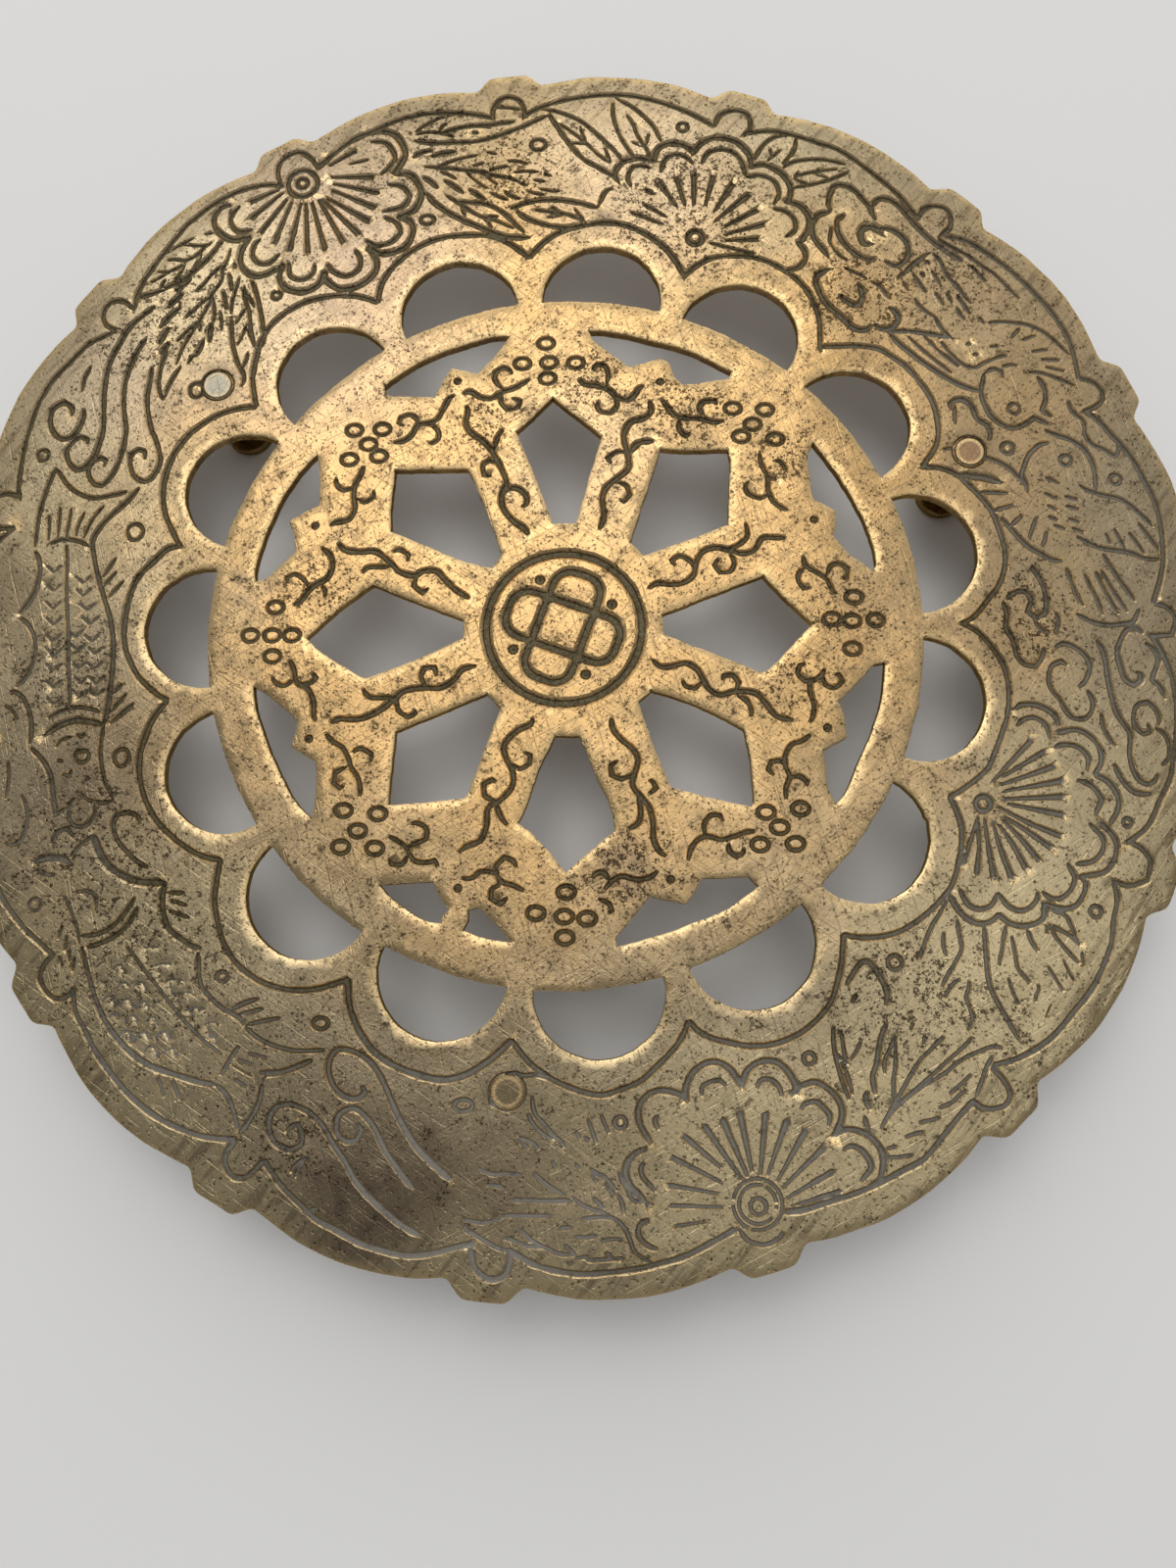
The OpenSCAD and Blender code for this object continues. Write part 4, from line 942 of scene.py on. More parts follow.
# Where the surface is pitted: x, y, radius, strength
PITTED = (
    (20, 71, 15, 1.0), (-8, 77, 9, 1.0), (-20, 84, 7, 0.8), (47, 54, 10, 1.0), (60, 57, 12, 0.8),
    (-60, 54, 11, 0.9), (-68, 47, 8, 0.9), (-70, -34, 16, 0.9), (-60, -50, 16, 0.9), (-40, -73, 9, 0.7),
    (-75, -8, 12, 0.6), (69, 1, 8, 1.0), (48, -55, 11, 0.8), (4, 40, 8, 0.8), (19, 35, 8, 0.9),
    (34, 27, 6, 0.8), (10, -38, 9, 0.7), (43, 2, 8, 0.6), (35, -9, 7, 0.6), (-36, 6, 8, 0.6),
    (-12, 33, 6, 0.6), (62, -58, 14, 0.25),
)
# Where the grooves are worn and look light, pale dirt with a painted reflection of the light over it: x, y,
# radius, strength
PALE = (
    (-16, -86, 34, 0.9), (-56, -70, 26, 0.7), (0, -80, 18, 0.9), (-80, -36, 18, 0.4),
    (26, -78, 26, 0.7), (66, -54, 34, 0.5), (52, -78, 30, 0.6), (70, -26, 24, 0.5), (82, -4, 18, 0.5),
    (78, 20, 24, 0.5), (64, 46, 28, 0.4), (-80, 0, 18, 0.3),
)
# Where the brass is paler and rosier, a tint with a painted sheen: x, y, radius, strength
ROSY = ((-44, 60, 36, 1.0), (12, 76, 22, 0.8), (-70, 40, 18, 0.6), (4, 28, 14, 0.3))
# Where the colour is lighter, partly a lighter patina and partly painted light: x, y, radius, strength
BRIGHT = (
    (70, -56, 38, 1.0), (54, -78, 34, 1.0), (26, -80, 26, 0.9), (76, -26, 24, 0.5), (-60, -64, 22, 0.5),
    (-4, -88, 30, 0.5), (20, 88, 40, 0.25), (-60, -50, 24, 0.6), (-80, 20, 30, 0.3), (-58, 58, 22, 0.6),
)
# Brown and dark stains: x, y, radius, strength
STAINED = (
    (-27, -83, 13, 1.0), (-20, -78, 12, 0.8), (-8, -78, 12, 0.5), (6.5, 67.5, 3, 0.7),
    (-48.5, 4.5, 2.2, 0.7), (-49, 8, 1.6, 0.6), (8, -36, 7, 0.5), (-45, 8, 4, 0.4), (20, 32, 5, 0.3),
    (-70, -20, 12, 0.4), (-86, 8, 9, 0.5),
)
ZONE_SLOPE = 1.6
RIVET_GRIME = (5.5, 0.6)
# How much darker the underside and the walls of the openings are painted
UNDERSIDE_DARKENING = 0.5
# Share of the bright edge, worn brass with a painted highlight, given to the points just inside each rounded
# edge
ROUNDING_SHINE = 0.5


def rng(salt):
    return np.random.default_rng(SEED + salt)


def points(text):
    """All x,y points of a text."""
    return [tuple(float(v) for v in pair.split(",")) for pair in text.split()]


def lines(text):
    """The lines of a table, each with those that go on from it."""
    return [line for line in text.replace("\n    ", " ").split("\n") if line]


def length_along(path):
    return np.r_[0, np.cumsum(np.hypot(*np.diff(path, axis=0).T))]


def resample(path, step):
    """Evenly spaced points along a path, its ends kept."""
    along = length_along(path)
    n = max(2, int(round(along[-1] / step)) + 1)
    at = np.linspace(0, along[-1], n)
    return np.c_[np.interp(at, along, path[:, 0]), np.interp(at, along, path[:, 1])]


def smooth_run(run):
    """A Catmull-Rom curve through a run of points."""
    if len(run) < 3:
        return run
    padded = np.vstack([2 * run[0] - run[1], run, 2 * run[-1] - run[-2]])
    t = np.linspace(0, 1, CURVE_PARTS + 1)[:-1, None]
    out = []
    for a, b, c, d in zip(padded, padded[1:], padded[2:], padded[3:]):
        square = (2 * a - 5 * b + 4 * c - d) * t ** 2
        cube = (3 * b - a - 3 * c + d) * t ** 3
        out.append(0.5 * (2 * b + (c - a) * t + square + cube))
    return np.vstack(out + [run[-1:]])


def corner_at(a, b, c, limit):
    """Whether a path turns at b by more than limit degrees."""
    u = b - a
    v = c - b
    return u @ v < math.cos(math.radians(limit)) * np.linalg.norm(u) * np.linalg.norm(v)


def curve(pts, step=GROOVE_STEP, limit=STROKE_CORNER):
    """Evenly spaced points on a smooth curve through pts, which keeps its sharp corners."""
    pts = np.array(pts, float)
    last = len(pts) - 1
    cuts = [0] + [i for i in range(1, last) if corner_at(*pts[i - 1 : i + 2], limit)] + [last]
    runs = [resample(smooth_run(pts[a : b + 1]), step) for a, b in zip(cuts, cuts[1:])]
    return np.vstack([runs[0]] + [run[1:] for run in runs[1:]])


def closed_curve(pts):
    """The same round a closed outline, from a corner back to it."""
    pts = np.array(pts, float)
    n = len(pts)
    corners = [i for i in range(n) if corner_at(pts[i - 1], pts[i], pts[(i + 1) % n], OPENING_CORNER)]
    loop = np.roll(pts, -corners[0], axis=0)
    return curve(np.vstack([loop, loop[:1]]), EDGE_STEP, OPENING_CORNER)[:-1]


def direction(angle):
    """Unit vector at an angle in degrees, clockwise from +Y."""
    return np.array([math.sin(math.radians(angle)), math.cos(math.radians(angle))])


def circle(n):
    """Points round a circle of radius 1."""
    t = np.linspace(0, 2 * np.pi, n, endpoint=False)
    return np.c_[np.cos(t), np.sin(t)]


def foot_places():
    return [direction(angle) * FOOT_R for angle in FOOT_ANGLES]


def round_loop(loop):
    """The way ahead at each point of a closed loop."""
    return np.roll(loop, -1, axis=0) - np.roll(loop, 1, axis=0)


def right_of(ahead):
    """Unit vectors to the right of the way ahead."""
    return np.c_[ahead[:, 1], -ahead[:, 0]] / np.maximum(np.hypot(*ahead.T), 1e-9)[:, None]


def anticlockwise(loop):
    x, y = loop.T
    return np.sum(x * np.roll(y, -1) - y * np.roll(x, -1)) > 0


def into_metal(loop, is_rim):
    """Unit vectors into the plate at each point of its rim or of an opening."""
    side = right_of(round_loop(loop))
    return -side if anticlockwise(loop) == is_rim else side


def wobble(n, size, waves, salt):
    """Smooth closed noise along n samples, with fewer than this many waves."""
    draw = rng(salt)
    t = np.linspace(0, 2 * np.pi, n, endpoint=False)
    counts = range(2, waves, max(1, waves // WAVE_KINDS))
    total = sum(np.sin(k * t + draw.uniform(0, ANY_PHASE)) / math.sqrt(k) for k in counts)
    return size * total / np.abs(total).max()


def rim_radius(angle):
    """Distance from the axis to the rim, with its lobes and knobs."""
    lobe = math.radians((angle - LOBE_ANGLE + LOBE_STEP / 2) % LOBE_STEP - LOBE_STEP / 2)
    edge = LOBE_CENTRE_R * math.cos(lobe) + math.sqrt(LOBE_R ** 2 - (LOBE_CENTRE_R * math.sin(lobe)) ** 2)
    knob = abs(math.radians((angle - LOBE_ANGLE) % LOBE_STEP - LOBE_STEP / 2))
    slope = math.tan(math.radians(KNOB_FLANK))
    flank = (KNOB_HALF_W + KNOB_SHOULDER_R * slope) / (math.tan(knob) + slope) / math.cos(knob)
    return max(edge, min(KNOB_TOP_R, flank))


def outline():
    """The rim, filed by hand and so a little uneven."""
    n = int(2 * math.pi * CREST_R / EDGE_STEP)
    angles = np.arange(n) * 360 / n
    r = np.array([rim_radius(a) for a in angles])
    r = (np.roll(r, 1) + 2 * r + np.roll(r, -1)) / 4
    r -= np.abs(wobble(n, RIM_JITTER, RIM_WAVES, salt=1))
    return np.array([direction(a) * d for a, d in zip(angles, r)])


def arch_outline(index):
    """One half-round opening, which stands on the ring."""
    mid = direction(LOBE_ANGLE + index * LOBE_STEP)
    centre = mid * ARCH_CENTRE_R
    side = np.array([mid[1], -mid[0]])
    turns = np.linspace(-ARCH_OVERRUN, math.pi + ARCH_OVERRUN, ARC_POINTS)
    arc = [centre + ARCH_R * (math.cos(t) * side + math.sin(t) * mid) for t in turns]
    arc = np.array([p for p in arc if np.hypot(*p) > RING_R])
    first, last = (math.degrees(math.atan2(x, y)) for x, y in (arc[-1], arc[0]))
    span = (last - first + 180) % 360 - 180
    shares = np.linspace(0, 1, ARCH_FOOT_POINTS)
    foot = np.array([direction(first + span * share) * RING_R for share in shares])
    return np.vstack([resample(arc, EDGE_STEP)[:-1], resample(foot, EDGE_STEP)[:-1]])


def rough(loop, salt):
    """Saw and file marks along the edge of an opening."""
    n = len(loop)
    jag = wobble(n, SAW_MARK, max(LEAST_WAVES, n // POINTS_PER_WAVE), salt)
    jag = jag + rng(salt + FILE_SALT).normal(0, SAW_MARK * SAW_GRAIN, n)
    return loop + right_of(round_loop(loop)) * jag[:, None]


def nicked(loop):
    """The loop with its saw nicks and burrs."""
    for x, y, dx, dy in NICKS:
        far = np.hypot(*(loop - (x, y)).T)
        loop = loop + np.clip(1 - far / NICK_REACH, 0, 1)[:, None] * (dx, dy)
    return loop


def openings():
    """The outlines of all openings."""
    loops = [arch_outline(i) for i in range(LOBES)]
    loops += [closed_curve(points(line)) for line in lines(KITES) + lines(SEGMENTS)]
    return [nicked(rough(loop, SAW_SALT + i)) for i, loop in enumerate(loops)]


def head_holes():
    return [place + HEAD_HOLE_R * circle(HEAD_HOLE_POINTS) for place in foot_places()]


class Stroke:
    """One engraved stroke: points along it, with half its width and its depth at each."""

    def __init__(self, path, widths, blunt, salt, closed=False, depth_share=1.0):
        self.path = path
        self.closed = closed
        along = length_along(path)
        half = np.interp(along, [0, along[-1]], widths) * WIDTH_SCALE / 2
        if not blunt:
            near = np.minimum(along, along[-1] - along)
            reach = min(TAPER_LEN, TAPER_SHARE * along[-1])
            half *= TAPER_END + (1 - TAPER_END) * np.clip(near / reach, 0, 1) ** TAPER_CURVE
        jitter = rng(STROKE_SALT + salt).normal(0, 1, len(path) + 2)
        jitter = np.convolve(jitter, JITTER_BLEND, "valid")
        self.half = half * (1 + WIDTH_JITTER * jitter)
        self.depth = GROOVE_DEPTH * depth_share * np.clip(2 * half, *DEPTH_WIDTHS) ** 0.5

    def rows(self):
        """Points across the groove at each step: its two edges and its bed."""
        side = right_of(round_loop(self.path) if self.closed else np.gradient(self.path, axis=0))
        bed = (WALL_SHARE - 1, 1 - WALL_SHARE) if self.half.max() > FLAT_BED_HALF_W else (0,)
        return np.vstack([self.path + side * (self.half * share)[:, None] for share in (-1, 1, *bed)])


def ring(middle, radii, width, salt):
    """A closed stroke whose outer edge has these radii."""
    radii = [r - width / 2 for r in radii]
    n = max(LEAST_RING_POINTS, int(2 * math.pi * max(radii) / GROOVE_STEP))
    return Stroke(np.array(middle) + circle(n) * radii, (width, width), True, salt, closed=True)


def dots(places, radius):
    """Punched dots, each cut as a short closed groove."""
    return [ring(place, (radius, radius), radius, salt=5) for place in places]


def read_strokes(text, salt):
    """The strokes of one table."""
    out = []
    for i, line in enumerate(lines(text)):
        head, rest = line.split(" ", 1)
        pts = points(rest)
        widths = [float(w) for w in head.strip("=o").split(">")]
        if head[0] == "o":
            out.append(ring(pts[0], pts[1], widths[0], salt + i))
        else:
            out.append(Stroke(curve(pts), (widths[0], widths[-1]), head[0] == "=", salt + i))
    return out


def marks(text, mark, depth_share, salt=0):
    """The same small mark at each place."""
    out = []
    for x, y in points(text):
        for offsets, widths in mark:
            path = curve([(x + dx, y + dy) for dx, dy in offsets])
            out.append(Stroke(path, widths, True, salt + len(out), depth_share=depth_share))
    return out


def fish_marks():
    """Scale marks of both fish."""
    hooks = marks(HOOKS_LOWER, HOOK, SCALE_DEPTH_SHARE)
    arcs = marks(ARCS_LOWER, ARC, SCALE_DEPTH_SHARE, salt=len(hooks))
    return marks(CHEVRONS_LEFT, CHEVRON, CHEVRON_DEPTH_SHARE) + hooks + arcs


def oblong(turn):
    """Outline of a rounded oblong about the middle."""
    a, b = OBLONG_HALF
    r = b * OBLONG_ROUND_SHARE
    turns = np.linspace(0, math.pi / 2, OBLONG_ROUND_POINTS)
    quarter = [(a - r + r * math.sin(t), b - r + r * math.cos(t)) for t in turns]
    half = quarter + [(x, -y) for x, y in quarter[::-1]]
    pts = half + [(-x, -y) for x, y in half] + half[:1]
    u = direction(turn + 90)
    v = direction(turn)
    return resample(np.array([x * u + y * v for x, y in pts]), GROOVE_STEP)


def medallion():
    """A ring round two crossed oblongs and four dots."""
    out = [ring(MEDALLION_MIDDLE, (MEDALLION_R, MEDALLION_R), MEDALLION_W, salt=1)]
    for k in range(2):
        out.append(Stroke(oblong(OBLONG_TURN + 90 * k), (OBLONG_W, OBLONG_W), True, 2 + k))
    corners = [direction(OBLONG_TURN + 45 + 90 * k) * MEDALLION_DOT_AT for k in range(4)]
    return out + dots(corners, MEDALLION_DOT_R)


def rivet_rings():
    """The shallow groove left round each rivet head by its setting."""
    return [ring(place, (HEAD_RING_R, HEAD_RING_R), HEAD_RING_W, salt=9) for place in foot_places()]


def all_strokes():
    motifs = (
        RIM_LINES, SCALLOPS, FLOWER_TOP_LEFT, FEATHERS_TOP, LEAVES_TOP, FLOWER_TOP_RIGHT, CLOUDS,
        BIRD_UPPER, LEAVES_RIGHT, BIRD_LOWER, SCROLLS_RIGHT, FLOWER_RIGHT, LEAVES_LOWER_RIGHT,
        FLOWER_BOTTOM, LEAVES_BOTTOM, CURLS_BOTTOM, WAVES_LEFT, LEAVES_LEFT, FISH_LEFT, FISH_LOWER,
        TENDRILS, RINGS,
    )
    out = []
    for k, text in enumerate(motifs):
        out += read_strokes(text, 100 * k)
    for place in points(BERRIES):
        out.append(ring(place, BERRY_RADII, BERRY_W, len(out)))
    return out + dots(points(TAB_DOTS), TAB_DOT_R) + fish_marks() + medallion() + rivet_rings()


def groove_tree(strokes):
    """A search tree over the middle lines of all strokes, with half width and depth at each entry."""
    entries = []
    for stroke in strokes:
        rows = np.c_[stroke.path, stroke.half, stroke.depth]
        if stroke.closed:
            rows = np.vstack([rows, rows[:1]])
        k = np.arange(len(rows))
        at = np.linspace(0, len(rows) - 1, 2 * len(rows) - 1)
        entries.append(np.column_stack([np.interp(at, k, column) for column in rows.T]))
    entries = np.vstack(entries)
    tree = KDTree(len(entries))
    for i, (x, y) in enumerate(entries[:, :2]):
        tree.insert((x, y, 0), i)
    tree.balance()
    return tree, entries[:, 2], entries[:, 3]


def groove_depths(xy, tree, half, depth):
    """How deep the engraving is at each point, and how far down its own groove that is."""
    reach = half.max()
    out = np.zeros((2, len(xy)))
    for i, (x, y) in enumerate(xy):
        for _, k, dist in tree.find_range((x, y, 0), reach):
            share = min(1.0, (1 - dist / half[k]) / WALL_SHARE)
            if share > LEAST_CUT:
                out[:, i] = np.maximum(out[:, i], (depth[k] * share, share))
    return out


class Sieve:
    """Takes points that keep a distance from those taken before."""

    def __init__(self, cell):
        self.cell = cell
        self.cells = {}
        self.taken = []

    def cell_of(self, x, y):
        return math.floor(x / self.cell), math.floor(y / self.cell)

    def near(self, x, y, gap):
        reach = math.ceil(gap / self.cell)
        cx, cy = self.cell_of(x, y)
        for i in range(cx - reach, cx + reach + 1):
            for j in range(cy - reach, cy + reach + 1):
                for px, py in self.cells.get((i, j), ()):
                    if (px - x) ** 2 + (py - y) ** 2 < gap * gap:
                        return True
        return False

    def add(self, pts, gap):
        for x, y in pts:
            if not (gap and self.near(x, y, gap)):
                self.cells.setdefault(self.cell_of(x, y), []).append((x, y))
                self.taken.append((x, y))


def hex_grid(step, salt):
    """Loose triangular grid over the whole plate."""
    columns = int(KNOB_TOP_R / step) + 2
    count = int(columns * ROWS_TO_COLUMNS)
    rows = []
    for j in range(-count, count + 1):
        x = (np.arange(-columns, columns + 1) + 0.5 * (j % 2)) * step
        rows.append(np.c_[x, np.full(len(x), j * step * TRIANGLE_H)])
    grid = np.vstack(rows)
    grid = grid + rng(salt).uniform(-GRID_JITTER * step, GRID_JITTER * step, grid.shape)
    return grid[np.hypot(*grid.T) < KNOB_TOP_R]


def triangulate(loops, extra):
    """Triangles between the outline and the openings, and where each point of the loops went."""
    outlines = []
    first = 0
    for loop in loops:
        outlines.append(list(range(first, first + len(loop))))
        first += len(loop)
    pts = [Vector(p) for p in np.vstack(loops + [extra])]
    verts, _, faces, ids, _, _ = delaunay_2d_cdt(pts, [], outlines, INSIDE_WITH_HOLES, SAME_POINT)
    number = {k: new for new, old in enumerate(ids) for k in old}
    return np.array([(v.x, v.y) for v in verts]), [tuple(f) for f in faces], [number[k] for k in range(first)]


def is_among(xy, places):
    """1 for each point that is one of these places, and 0 for the others."""
    known = {(round(x, 3), round(y, 3)) for x, y in places}
    return np.array([(round(x, 3), round(y, 3)) in known for x, y in xy], float)


def rivet_grime():
    """Dirt caught round the rivet heads."""
    return tuple((*place, *RIVET_GRIME) for place in foot_places())


def zone_strength(xy, zones):
    """How strongly a point lies in any of the soft round zones."""
    out = np.zeros(len(xy))
    for x, y, radius, strength in zones:
        far = np.hypot(xy[:, 0] - x, xy[:, 1] - y) / radius
        out = np.maximum(out, strength * np.clip(ZONE_SLOPE * (1 - far), 0, 1))
    return out


def surface(xy):
    """Height of the uncut face below the plate's top: a sloping border, and ripples made of three waves."""
    x, y = xy.T
    waves = np.sin(x * 0.31 + 1.3 * np.sin(y * 0.17))
    waves = waves + np.sin(y * 0.27 + 1.1 * np.sin(x * 0.13 + 2))
    waves = waves + np.sin((x + y) * 0.11)
    slope = BORDER_DROP * np.clip((np.hypot(x, y) - BORDER_START_R) / BORDER_W, 0, None)
    return -SURFACE_DIP - RIPPLE * (waves + 3) / 3 - slope


def under_grid(loops):
    """Sparse points for the underside, clear of every edge."""
    sieve = Sieve(UNDER_GAP)
    for loop in loops:
        sieve.add(loop, 0)
    n = len(sieve.taken)
    sieve.add(hex_grid(UNDER_STEP, salt=4), UNDER_GAP)
    return np.array(sieve.taken[n:])


def wall(loop, upper, middle, lower):
    """Two rows of faces from the top edge of a loop down to its lower edge."""
    forward = anticlockwise(loop)
    faces = []
    for high, low in ((upper, middle), (middle, lower)):
        for i in range(len(loop)):
            j = (i + 1) % len(loop)
            quad = (high[i], low[i], low[j], high[j])
            faces.append(quad if forward else quad[::-1])
    return faces


def plate_mesh():
    """Points, faces and point values of the plate: top, underside, and a wall round each loop."""
    loops = [outline()] + openings() + head_holes()
    rims = len(loops) - len(FOOT_ANGLES)
    strokes = all_strokes()
    sieve = Sieve(SIEVE_CELL)
    for loop in loops:
        sieve.add(loop, 0)
    edge_count = len(sieve.taken)
    for k, loop in enumerate(loops[:rims]):
        sieve.add(loop + into_metal(loop, k == 0) * EDGE_ROUND, EDGE_ROUND * EDGE_ROUND_GAP_SHARE)
    rounding = sieve.taken[edge_count:]
    for stroke in strokes:
        sieve.add(stroke.rows(), MIN_GAP)
    sieve.add(hex_grid(GRID_STEP, salt=3), GRID_GAP)

    top, faces, top_edge = triangulate(loops, np.array(sieve.taken[edge_count:]))
    cut, cut_share = groove_depths(top, *groove_tree(strokes))
    z = surface(top) - cut
    z[top_edge[: sum(len(loop) for loop in loops[:rims])]] -= EDGE_DROP
    under, under_faces, under_edge = triangulate(loops, under_grid(loops))
    base = len(top)
    verts = [(x, y, TOP_Z + h) for (x, y), h in zip(top, z)]
    verts += [(x, y, TOP_Z - PLATE_T) for x, y in under]
    faces += [tuple(base + i for i in reversed(face)) for face in under_faces]

    first = 0
    for k, loop in enumerate(loops):
        n = len(loop)
        middle = range(len(verts), len(verts) + n)
        lower = [base + i for i in under_edge[first : first + n]]
        faces += wall(loop, top_edge[first : first + n], middle, lower)
        if k < rims:
            bulge = WALL_INSET + np.abs(rng(WALL_SALT + k).normal(0, WALL_BULGE, n))
            waist = loop + into_metal(loop, k == 0) * bulge[:, None]
            waist_z = TOP_Z - PLATE_T / 2
        else:
            waist = loop
            waist_z = TOP_Z - HEAD_DEPTH
        verts += [(x, y, waist_z) for x, y in waist]
        first += n

    edge = np.zeros(base)
    edge[top_edge] = 1
    values = {
        "edge": np.maximum(edge, ROUNDING_SHINE * is_among(top, rounding)),
        "cut": cut_share,
        "pits": zone_strength(top, PITTED),
        "stains_and_darker_underside": zone_strength(top, STAINED + rivet_grime()),
        "pale": zone_strength(top, PALE),
        "rosy": zone_strength(top, ROSY),
        "paler_patina_and_light": zone_strength(top, BRIGHT),
    }
    for key, value in values.items():
        elsewhere = UNDERSIDE_DARKENING if key == "stains_and_darker_underside" else 0.0
        values[key] = np.r_[value, np.full(len(verts) - base, elsewhere)]
    return verts, faces, values


def drop_loose_points(mesh):
    """Deletes the points that no face uses."""
    bm = bmesh.new()
    bm.from_mesh(mesh)
    bmesh.ops.delete(bm, geom=[v for v in bm.verts if not v.link_faces], context="VERTS")
    bm.to_mesh(mesh)
    bm.free()


def add_to_scene(name, data):
    obj = bpy.data.objects.new(name, data)
    bpy.context.scene.collection.objects.link(obj)
    return obj


def make_object(name, verts, faces, material, values=()):
    """An object from points in millimetres, with its point values as attributes."""
    mesh = bpy.data.meshes.new(name)
    mesh.from_pydata([(x * MM, y * MM, z * MM) for x, y, z in verts], [], faces)
    mesh.validate()
    for key in values:
        layer = mesh.attributes.new(key, "FLOAT", "POINT")
        layer.data.foreach_set("value", np.asarray(values[key], dtype=np.float32))
    drop_loose_points(mesh)
    mesh.shade_smooth()
    mesh.set_sharp_from_angle(angle=math.radians(SHARP_ANGLE))
    mesh.materials.append(material)
    return add_to_scene(name, mesh)


# Materials
def colour(text):
    """Linear colour from the sRGB hex digits that a colour picker shows."""
    srgb = [int(text[i : i + 2], 16) / 255 for i in (0, 2, 4)]
    return tuple(c / 12.92 if c < 0.04045 else ((c + 0.055) / 1.055) ** 2.4 for c in srgb) + (1,)


GOLD = colour("be9b68")
OLIVE = colour("a29275")
FOOT_GOLD = colour("a28451")
FOOT_OLIVE = colour("7d6c48")
ROSE = colour("b59f87")
DARK_PATINA = colour("6e604a")
GROOVE_DIRT_AND_SHADE = colour("2e261d")
GROOVE_LIGHT = colour("686049")
PALE_DIRT_AND_REFLECTION = colour("8e8a82")
PIT_DARK = colour("403123")
STAIN = colour("645648")
WORN_SHINE = colour("d9bc88")
PALE_PATINA_AND_LIGHT = colour("c6b48c")
EDGE_TINT = colour("e0c890")
HEAD_BROWN = colour("98795f")
HEAD_PALE = colour("948d7c")
HEAD_DULL = colour("8a7a60")
FLOOR_TONES = (colour("f2f1ee"), colour("eeede9"))
WALL_TONE = colour("ededef")

# Places and distances in the materials are metres, and noise scales are waves to the metre
RUBBED_MIDDLE = (0.003, 0.014, 0.016)
FACE_MIDDLE = (0.0, 0.0, 0.016)
HEAD_Z = (0.0148, 0.0156)
PIT_SHIFT = (0.0006, 0.0006, 0.0)
BUMP_H = 0.00015
# Scratches: their direction in radians, scale and least noise level
SCRATCHES = ((0.6, 200.0, 0.64), (-0.5, 230.0, 0.65), (1.3, 170.0, 0.65), (2.2, 260.0, 0.66))
# Fine, small and large pits: scale and size
PITS = ((2300.0, 0.46), (1400.0, 0.4), (800.0, 0.26))
LARGEST_PITS = (330.0, 0.12)


class Nodes:
    """The node tree of a material or a world, with short names for the nodes in use."""

    def __init__(self, owner):
        owner.use_nodes = True
        self.tree = owner.node_tree
        self.tree.nodes.clear()

    def add(self, kind, inputs=None, **props):
        node = self.tree.nodes.new(kind)
        for key, value in props.items():
            setattr(node, key, value)
        for key, value in (inputs or {}).items():
            socket = node.inputs[key]
            if isinstance(value, bpy.types.NodeSocket):
                self.tree.links.new(value, socket)
            else:
                socket.default_value = value
        return node

    def axes(self, vector):
        parts = self.add("ShaderNodeSeparateXYZ", {0: vector})
        return [parts.outputs[axis] for axis in "XYZ"]

    def math(self, operation, a, b, clamp=False):
        return self.add("ShaderNodeMath", {0: a, 1: b}, operation=operation, use_clamp=clamp).outputs[0]

    def times(self, first, *others):
        for other in others:
            first = self.math("MULTIPLY", first, other)
        return first

    def plus(self, a, b, clamp=False):
        return self.math("ADD", a, b, clamp)

    def minus(self, a, b):
        return self.math("SUBTRACT", a, b)

    def most(self, first, *others):
        for other in others:
            first = self.math("MAXIMUM", first, other)
        return first

    def vector(self, operation, a, b):
        return self.add("ShaderNodeVectorMath", {0: a, 1: b}, operation=operation).outputs["Vector"]

    def distance(self, a, b):
        return self.add("ShaderNodeVectorMath", {0: a, 1: b}, operation="DISTANCE").outputs["Value"]

    def ramp(self, value, low, high, to_low=0.0, to_high=1.0):
        inputs = {"Value": value, "From Min": low, "From Max": high, "To Min": to_low, "To Max": to_high}
        return self.add("ShaderNodeMapRange", inputs).outputs["Result"]

    def mix(self, share, a, b):
        return self.add("ShaderNodeMix", {"Factor": share, 6: a, 7: b}, data_type="RGBA").outputs[2]

    def noise(self, where, scale, detail=3.0, rough=0.5, stretch=None, turn=0.0):
        if stretch:
            where = self.add("ShaderNodeMapping", {"Vector": where, "Rotation": (0, 0, turn)}).outputs[0]
            where = self.add("ShaderNodeMapping", {"Vector": where, "Scale": stretch}).outputs[0]
        inputs = {"Vector": where, "Scale": scale, "Detail": detail, "Roughness": rough}
        return self.add("ShaderNodeTexNoise", inputs).outputs["Fac"]

    def pits(self, where, scale, size):
        """1 in the middle of scattered small specks, each a different size."""
        inputs = {"Vector": where, "Scale": scale, "Randomness": 1.0}
        cells = self.add("ShaderNodeTexVoronoi", inputs, feature="F1")
        luck = self.add("ShaderNodeSeparateColor", {0: cells.outputs["Color"]}).outputs[0]
        reach = self.times(self.ramp(luck, 0.45, 1.0), size)
        return self.ramp(self.minus(reach, cells.outputs["Distance"]), 0.0, 0.12)

    def attribute(self, name):
        return self.add("ShaderNodeAttribute", attribute_name=name, attribute_type="GEOMETRY").outputs["Fac"]

    def output(self, kind, shader):
        self.add(kind, {"Surface": shader.outputs[0]})


